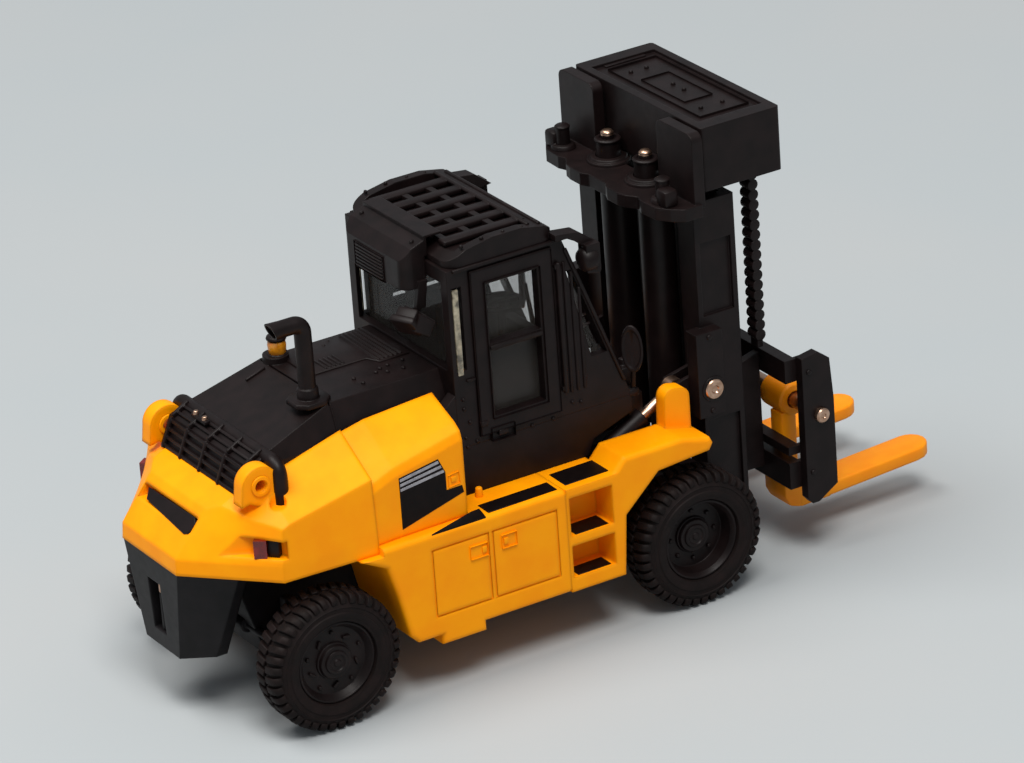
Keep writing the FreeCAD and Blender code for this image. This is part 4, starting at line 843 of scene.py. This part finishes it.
def mirrors_and_cowl():
    """Oval mirrors on posts, and the valve boxes on the cowl in front of the cab."""
    for word, side in SIDES:
        maker = bmesh.new()
        middle = Vector((5.9, side * 9.3, 25.0))
        turned(maker, [(0, 0.28), (0.7, 0.26), (1.05, 0.1), (1.1, -0.05), (1.06, -0.2),
                       (0.92, -0.22), (0.84, -0.1), (0, -0.08)], middle, X, steps=36)
        bmesh.ops.scale(maker, vec=(1, 0.95, 2.1), verts=maker.verts,
                        space=Matrix.Translation(-middle))
        bmesh.ops.rotate(maker, verts=maker.verts, cent=middle,
                         matrix=Matrix.Rotation(side * math.radians(-38), 3, "Z"))
        rod(maker, (6.3, side * 8.3, 20.6), (6.2, side * 8.9, 23.6), 0.26, 0.2, edge=0.06,
            sides=12)
        rod(maker, (6.2, side * 8.9, 23.5), (6.1, side * 9.15, 25.2), 0.2, edge=0.06, sides=12)
        block(maker, (6.2, side * 8.2, 20.4), (1.1, 1.1, 0.7), edge=0.15)
        finish_piece(f"{word}_oval_mirror", maker, "truck", "black_plastic")
    maker = bmesh.new()
    for side in (-1, 1):
        block(maker, (7.0, side * 5.6, 20.9), (1.4, 2.0, 2.0), edge=0.2)
        block(maker, (6.7, side * 7.4, 18.7), (1.6, 1.2, 2.6), edge=0.2)
        rod(maker, (7.0, side * 5.6, 21.6), (7.0, side * 5.6, 22.5), 0.4, 0.3, edge=0.1, sides=16)
    finish_piece("cowl_valve_boxes", maker, "truck", "black_plastic")


guard_bar()
for word, side in SIDES:
    cab_side(word, side)
roof_fittings()
work_lamps()
mirrors_and_cowl()


# ---------------------------------------------------------------- mast and carriage

BOX_TOP = 44.3
BOX_FLOOR = 44.0
SHELF_TOP = 37.6
CYLINDER_X, CYLINDER_Y = 12.3, 3.15
CYLINDER_TOP = 40.2
PIN_X, PIN_Y, PIN_Z = 13.3, 10.8, 19.4
SHAFT_X, SHAFT_Z = 23.9, 14.1
FORK_THICK = 1.3
FORK_RISE = 0.8
FORK_RISE_START = 27.3
HEEL_INSET = 0.04
CHAIN_PITCH = 0.98
STEERING_X, STEERING_Z = -31.9, 7.4


def mast_box_top():
    """Raised frames, ribs and nubs on the sunken top of the box, and below it a black plate for
    the shaded parts between the rails.
    """
    maker = bmesh.new()
    rim(maker, rectangle(15.5, 20.7, -7.6, 7.6), facing_z, BOX_FLOOR - 0.05, BOX_TOP - 0.08, 0.3,
        edge=0.06)
    rim(maker, rectangle(16.5, 19.5, -3.6, 3.6), facing_z, BOX_FLOOR - 0.05, BOX_TOP - 0.14, 0.25,
        edge=0.05)
    for y in (-8.6, 8.6):
        block(maker, (18.0, y, BOX_FLOOR + 0.05), (4.4, 0.45, 0.2), edge=0.06)
    for x, y in ((18.6, 5.9), (18.2, 0.9), (18.2, -0.9), (19.2, -5.6), (16.9, -5.6), (16.9, 5.9)):
        rod(maker, (x, y, BOX_FLOOR - 0.05), (x, y, BOX_TOP - 0.06), 0.24, 0.18, edge=0.05,
            sides=12)
    finish_piece("mast_box_top_frame", maker, "inner_mast", "black_plastic")
    maker = bmesh.new()
    # The black plate closes the gap between the rails: it stands for the inner rails and hoses
    # there and paints the shade among them.
    block(maker, (15.4, 0, 23.8), (0.4, 11.2, 27.0), edge=0.1)
    finish_piece("inner_mast_shaded_gap_plate", maker, "inner_mast", "black_plastic")


def shelf_fittings():
    """Collars and rivets of the cylinder bosses; caps, feet and corner blocks of the posts."""
    maker = bmesh.new()
    rivets = bmesh.new()
    for side in (-1, 1):
        boss = Vector((CYLINDER_X, side * CYLINDER_Y, SHELF_TOP))
        turned(maker, [(1.2, 0.55), (1.62, 0.5), (1.72, 0.36), (1.74, 0.28), (1.98, 0.26),
                       (2.03, 0.14), (2.03, -0.1)], boss, Z)
        turned(maker, [(1.12, 1.9), (1.2, 1.95), (1.22, 2.1), (1.05, 2.22), (0.8, 2.2)], boss, Z)
        post = Vector((10.7, side * 8.3, SHELF_TOP))
        turned(maker, [(0.7, 2.0), (0.72, 2.15), (0.55, 2.28), (0, 2.3)], post, Z, steps=24)
        turned(maker, [(0.7, 0.5), (1.0, 0.42), (1.15, 0.2), (1.15, -0.1)], post, Z, steps=24)
        block(maker, (10.5, side * 9.3, SHELF_TOP + 0.75), (1.5, 1.7, 1.7), edge=0.4)
        turned(rivets, [(0.62, -0.1), (0.6, 0.1), (0.45, 0.28), (0.2, 0.36), (0, 0.37)],
               (CYLINDER_X, side * CYLINDER_Y, CYLINDER_TOP), Z, steps=24)
    finish_piece("mast_shelf_collars", maker, "outer_mast", "black_plastic")
    finish_piece("cylinder_rivets", rivets, "outer_mast", "steel")


def bracket_pins():
    """Steel pin heads on the tilt brackets, dimpled and chamfered, in black rings with bolts."""
    pins = bmesh.new()
    bosses = bmesh.new()
    for side in (-1, 1):
        pin = (PIN_X, side * PIN_Y, PIN_Z)
        turned(pins, [(0.95, -0.05), (0.95, 0.14), (0.86, 0.24), (0.4, 0.26), (0.3, 0.14),
                      (0, 0.1)], pin, Y * side, steps=36)
        turned(bosses, [(1.25, -0.05), (1.22, 0.08), (1.0, 0.1)], pin, Y * side, steps=36)
        for z in (17.3, 24.5):
            rod(bosses, (13.1, side * 10.7, z), (13.1, side * 10.95, z), 0.3, 0.24, edge=0.06,
                sides=12)
    finish_piece("tilt_bracket_pins", pins, "outer_mast", "steel")
    finish_piece("tilt_bracket_bosses", bosses, "outer_mast", "black_plastic")


def leaf_chain(word):
    """Leaf chain: a flat strip crossed by a round link at every pitch."""
    low, high = box_mm(f"{word}_lift_chain")
    maker = bmesh.new()
    x, y = (low.x + high.x) / 2, (low.y + high.y) / 2
    wide = (high.y - low.y) / 2 + 0.18
    for link in range(int((high.z - low.z) / CHAIN_PITCH)):
        z = high.z - (link + 0.55) * CHAIN_PITCH
        rod(maker, (x, y - wide, z), (x, y + wide, z), 0.55, edge=0.07, sides=14)
    prism(maker, rectangle(x - 0.3, x + 0.3, low.z + 0.1, high.z), facing_y, y - wide + 0.15,
          y + wide - 0.15, edge=0.06)
    finish_piece(f"{word}_leaf_chain", maker, "inner_mast", "black_plastic",
                 replaces=[f"{word}_lift_chain"])


def carriage_fittings():
    """Steel shaft ends, bolts on the side plates and beams."""
    maker = bmesh.new()
    bolts = bmesh.new()
    for side in (-1, 1):
        turned(maker, [(0.7, -0.2), (0.7, 0.1), (0.6, 0.2), (0.25, 0.22), (0.2, 0.14), (0, 0.12)],
               (SHAFT_X, side * 12.2, SHAFT_Z), Y * side, steps=32)
        for z in (18.6, 8.6):
            rod(bolts, (22.8, side * 11.8, z), (22.8, side * 12.05, z), 0.3, 0.25, edge=0.06,
                sides=6)
    for y in (-9.3, -7.0, 7.0, 9.3):
        for z in (18.8, 8.3):
            rod(bolts, (22.0, y, z), (22.3, y, z), 0.3, 0.25, edge=0.06, sides=6)
    finish_piece("fork_shaft_ends", maker, "carriage", "steel")
    finish_piece("carriage_bolts", bolts, "carriage", "black_plastic")


def fork(word, side):
    """Fork: flat blade with a rounded tip, heel, slim shank, and a round eye on the shaft."""
    low, high = box_mm(f"{word}_fork")
    middle, half = (low.y + high.y) / 2, (high.y - low.y) / 2
    maker = bmesh.new()
    tip = [(high.x - half + half * math.sin(turn), middle + half * math.cos(turn))
           for turn in (math.pi * step / 8 for step in range(9))]
    prism(maker, [(24.0, middle - half), (24.0, middle + half)] + tip, facing_z, low.z,
          low.z + FORK_THICK, edge=0.24, segments=3)
    for vert in maker.verts:
        vert.co.z += FORK_RISE * max(0, (vert.co.x - FORK_RISE_START) / (high.x - FORK_RISE_START))
    prism(maker, [(22.35, 5.9), (22.35, 4.5), (22.9, 3.5), (23.9, low.z + HEEL_INSET),
                  (27.5, low.z + HEEL_INSET), (27.5, low.z + FORK_THICK - HEEL_INSET), (25.4, 4.5),
                  (24.2, 5.9)], facing_y,
          middle - half + HEEL_INSET, middle + half - HEEL_INSET, edge=0.25)
    block(maker, (23.2, middle + side * 0.75, 9.2), (1.65, 1.9, 7.6), edge=0.2)
    turned(maker, [(0.82, -half), (1.4, -half), (1.62, -half + 0.2), (1.66, 0), (1.62, half - 0.2),
                   (1.4, half), (0.82, half)], (SHAFT_X, middle, SHAFT_Z), Y, closed=True)
    finish_piece(f"{word}_round_eyed_fork", maker, f"{word}_fork_body", "fork_orange",
                 replaces=[f"{word}_fork"])


def steering_gear():
    """Steering cylinder and links in front of the rear axle, seen below the counterweight."""
    maker = bmesh.new()
    x, z = STEERING_X, STEERING_Z
    rod(maker, (x, -3.6, z), (x, 3.6, z), 0.8, edge=0.15, sides=20)
    rod(maker, (x, -7.6, z), (x, 7.6, z), 0.36, edge=0.08, sides=16)
    for side in (-1, 1):
        block(maker, (x + 0.7, side * 7.7, z), (2.2, 0.9, 0.8), edge=0.2)
        block(maker, (x + 1.7, side * 8.0, z + 2.2), (1.1, 1.0, 3.6), edge=0.2)
        rod(maker, (x, side * 7.7, z - 0.7), (x, side * 7.7, z + 0.9), 0.5, edge=0.1, sides=16)
    finish_piece("steering_gear", maker, "truck", "dark_grey_paint")


mast_box_top()
shelf_fittings()
bracket_pins()
for word, side in SIDES:
    leaf_chain(word)
    fork(word, side)
carriage_fittings()
steering_gear()


# ---------------------------------------------------------------- studio and camera

TARGET = Vector((0.2, 2.6, 19.3)) * MM
VIEW_DISTANCE = 526 * MM
VIEW_YAW = math.radians(-30.09)
VIEW_PITCH = math.radians(24.25)
VIEW_ROLL = math.radians(-4.2)
FOCAL_WIDTHS = 5.668
SENSOR = 36
LIGHT_AIM = (0, 0, 0.02)
LIGHT_COLOUR = "FFFCF8"


def camera():
    """Long lens from behind the right side, slightly rolled."""
    back = Vector((math.sin(VIEW_YAW) * math.cos(VIEW_PITCH),
                   -math.cos(VIEW_YAW) * math.cos(VIEW_PITCH), math.sin(VIEW_PITCH)))
    right = (-back).cross(Z).normalized()
    up = right.cross(-back)
    turned_right = math.cos(VIEW_ROLL) * right + math.sin(VIEW_ROLL) * up
    top = -math.sin(VIEW_ROLL) * right + math.cos(VIEW_ROLL) * up
    data = bpy.data.cameras.new("camera")
    data.sensor_width = SENSOR
    data.lens = SENSOR * FOCAL_WIDTHS
    data.clip_start = 0.01
    data.clip_end = 20
    thing = bpy.data.objects.new("camera", data)
    thing.matrix_world = Matrix.Translation(TARGET + back * VIEW_DISTANCE) @ Matrix(
        (turned_right, top, back)).transposed().to_4x4()
    bpy.context.collection.objects.link(thing)
    bpy.context.scene.camera = thing


def area_light(name, place, aim, size, power, colour):
    """A square soft box that looks at a point."""
    data = bpy.data.lights.new(name, "AREA")
    data.size = size
    data.energy = power
    data.color = srgb(colour)[:3]
    thing = bpy.data.objects.new(name, data)
    direction = Vector(aim) - Vector(place)
    thing.matrix_world = Matrix.Translation(Vector(place)) @ direction.to_track_quat(
        "-Z", "Y").to_matrix().to_4x4()
    bpy.context.collection.objects.link(thing)


def studio():
    """Pale cloth floor, and soft light from high above the left rear and the right side."""
    material, tree, shader = new_material("Pale_cloth_backdrop", Roughness=0.95,
                                          Specular_IOR_Level=0.1)
    mottle(tree, shader, "A4AAAD", "A7ABAD", 60.0)
    mesh = bpy.data.meshes.new("floor")
    maker = bmesh.new()
    bmesh.ops.create_grid(maker, x_segments=1, y_segments=1, size=3.0)
    maker.to_mesh(mesh)
    maker.free()
    floor = bpy.data.objects.new("floor", mesh)
    floor.data.materials.append(material)
    bpy.context.collection.objects.link(floor)
    area_light("key", (-0.28, 0.12, 0.75), LIGHT_AIM, 0.4, 4.6, LIGHT_COLOUR)
    area_light("fill", (-0.14, -0.4, 0.85), LIGHT_AIM, 0.35, 6.6, LIGHT_COLOUR)
    world = bpy.data.worlds.new("studio")
    bpy.context.scene.world = world
    world.use_nodes = True
    background = world.node_tree.nodes["Background"]
    background.inputs["Color"].default_value = srgb("DDE3E8")
    background.inputs["Strength"].default_value = 0.46


camera()
studio()
bpy.context.scene.view_settings.view_transform = "Standard"
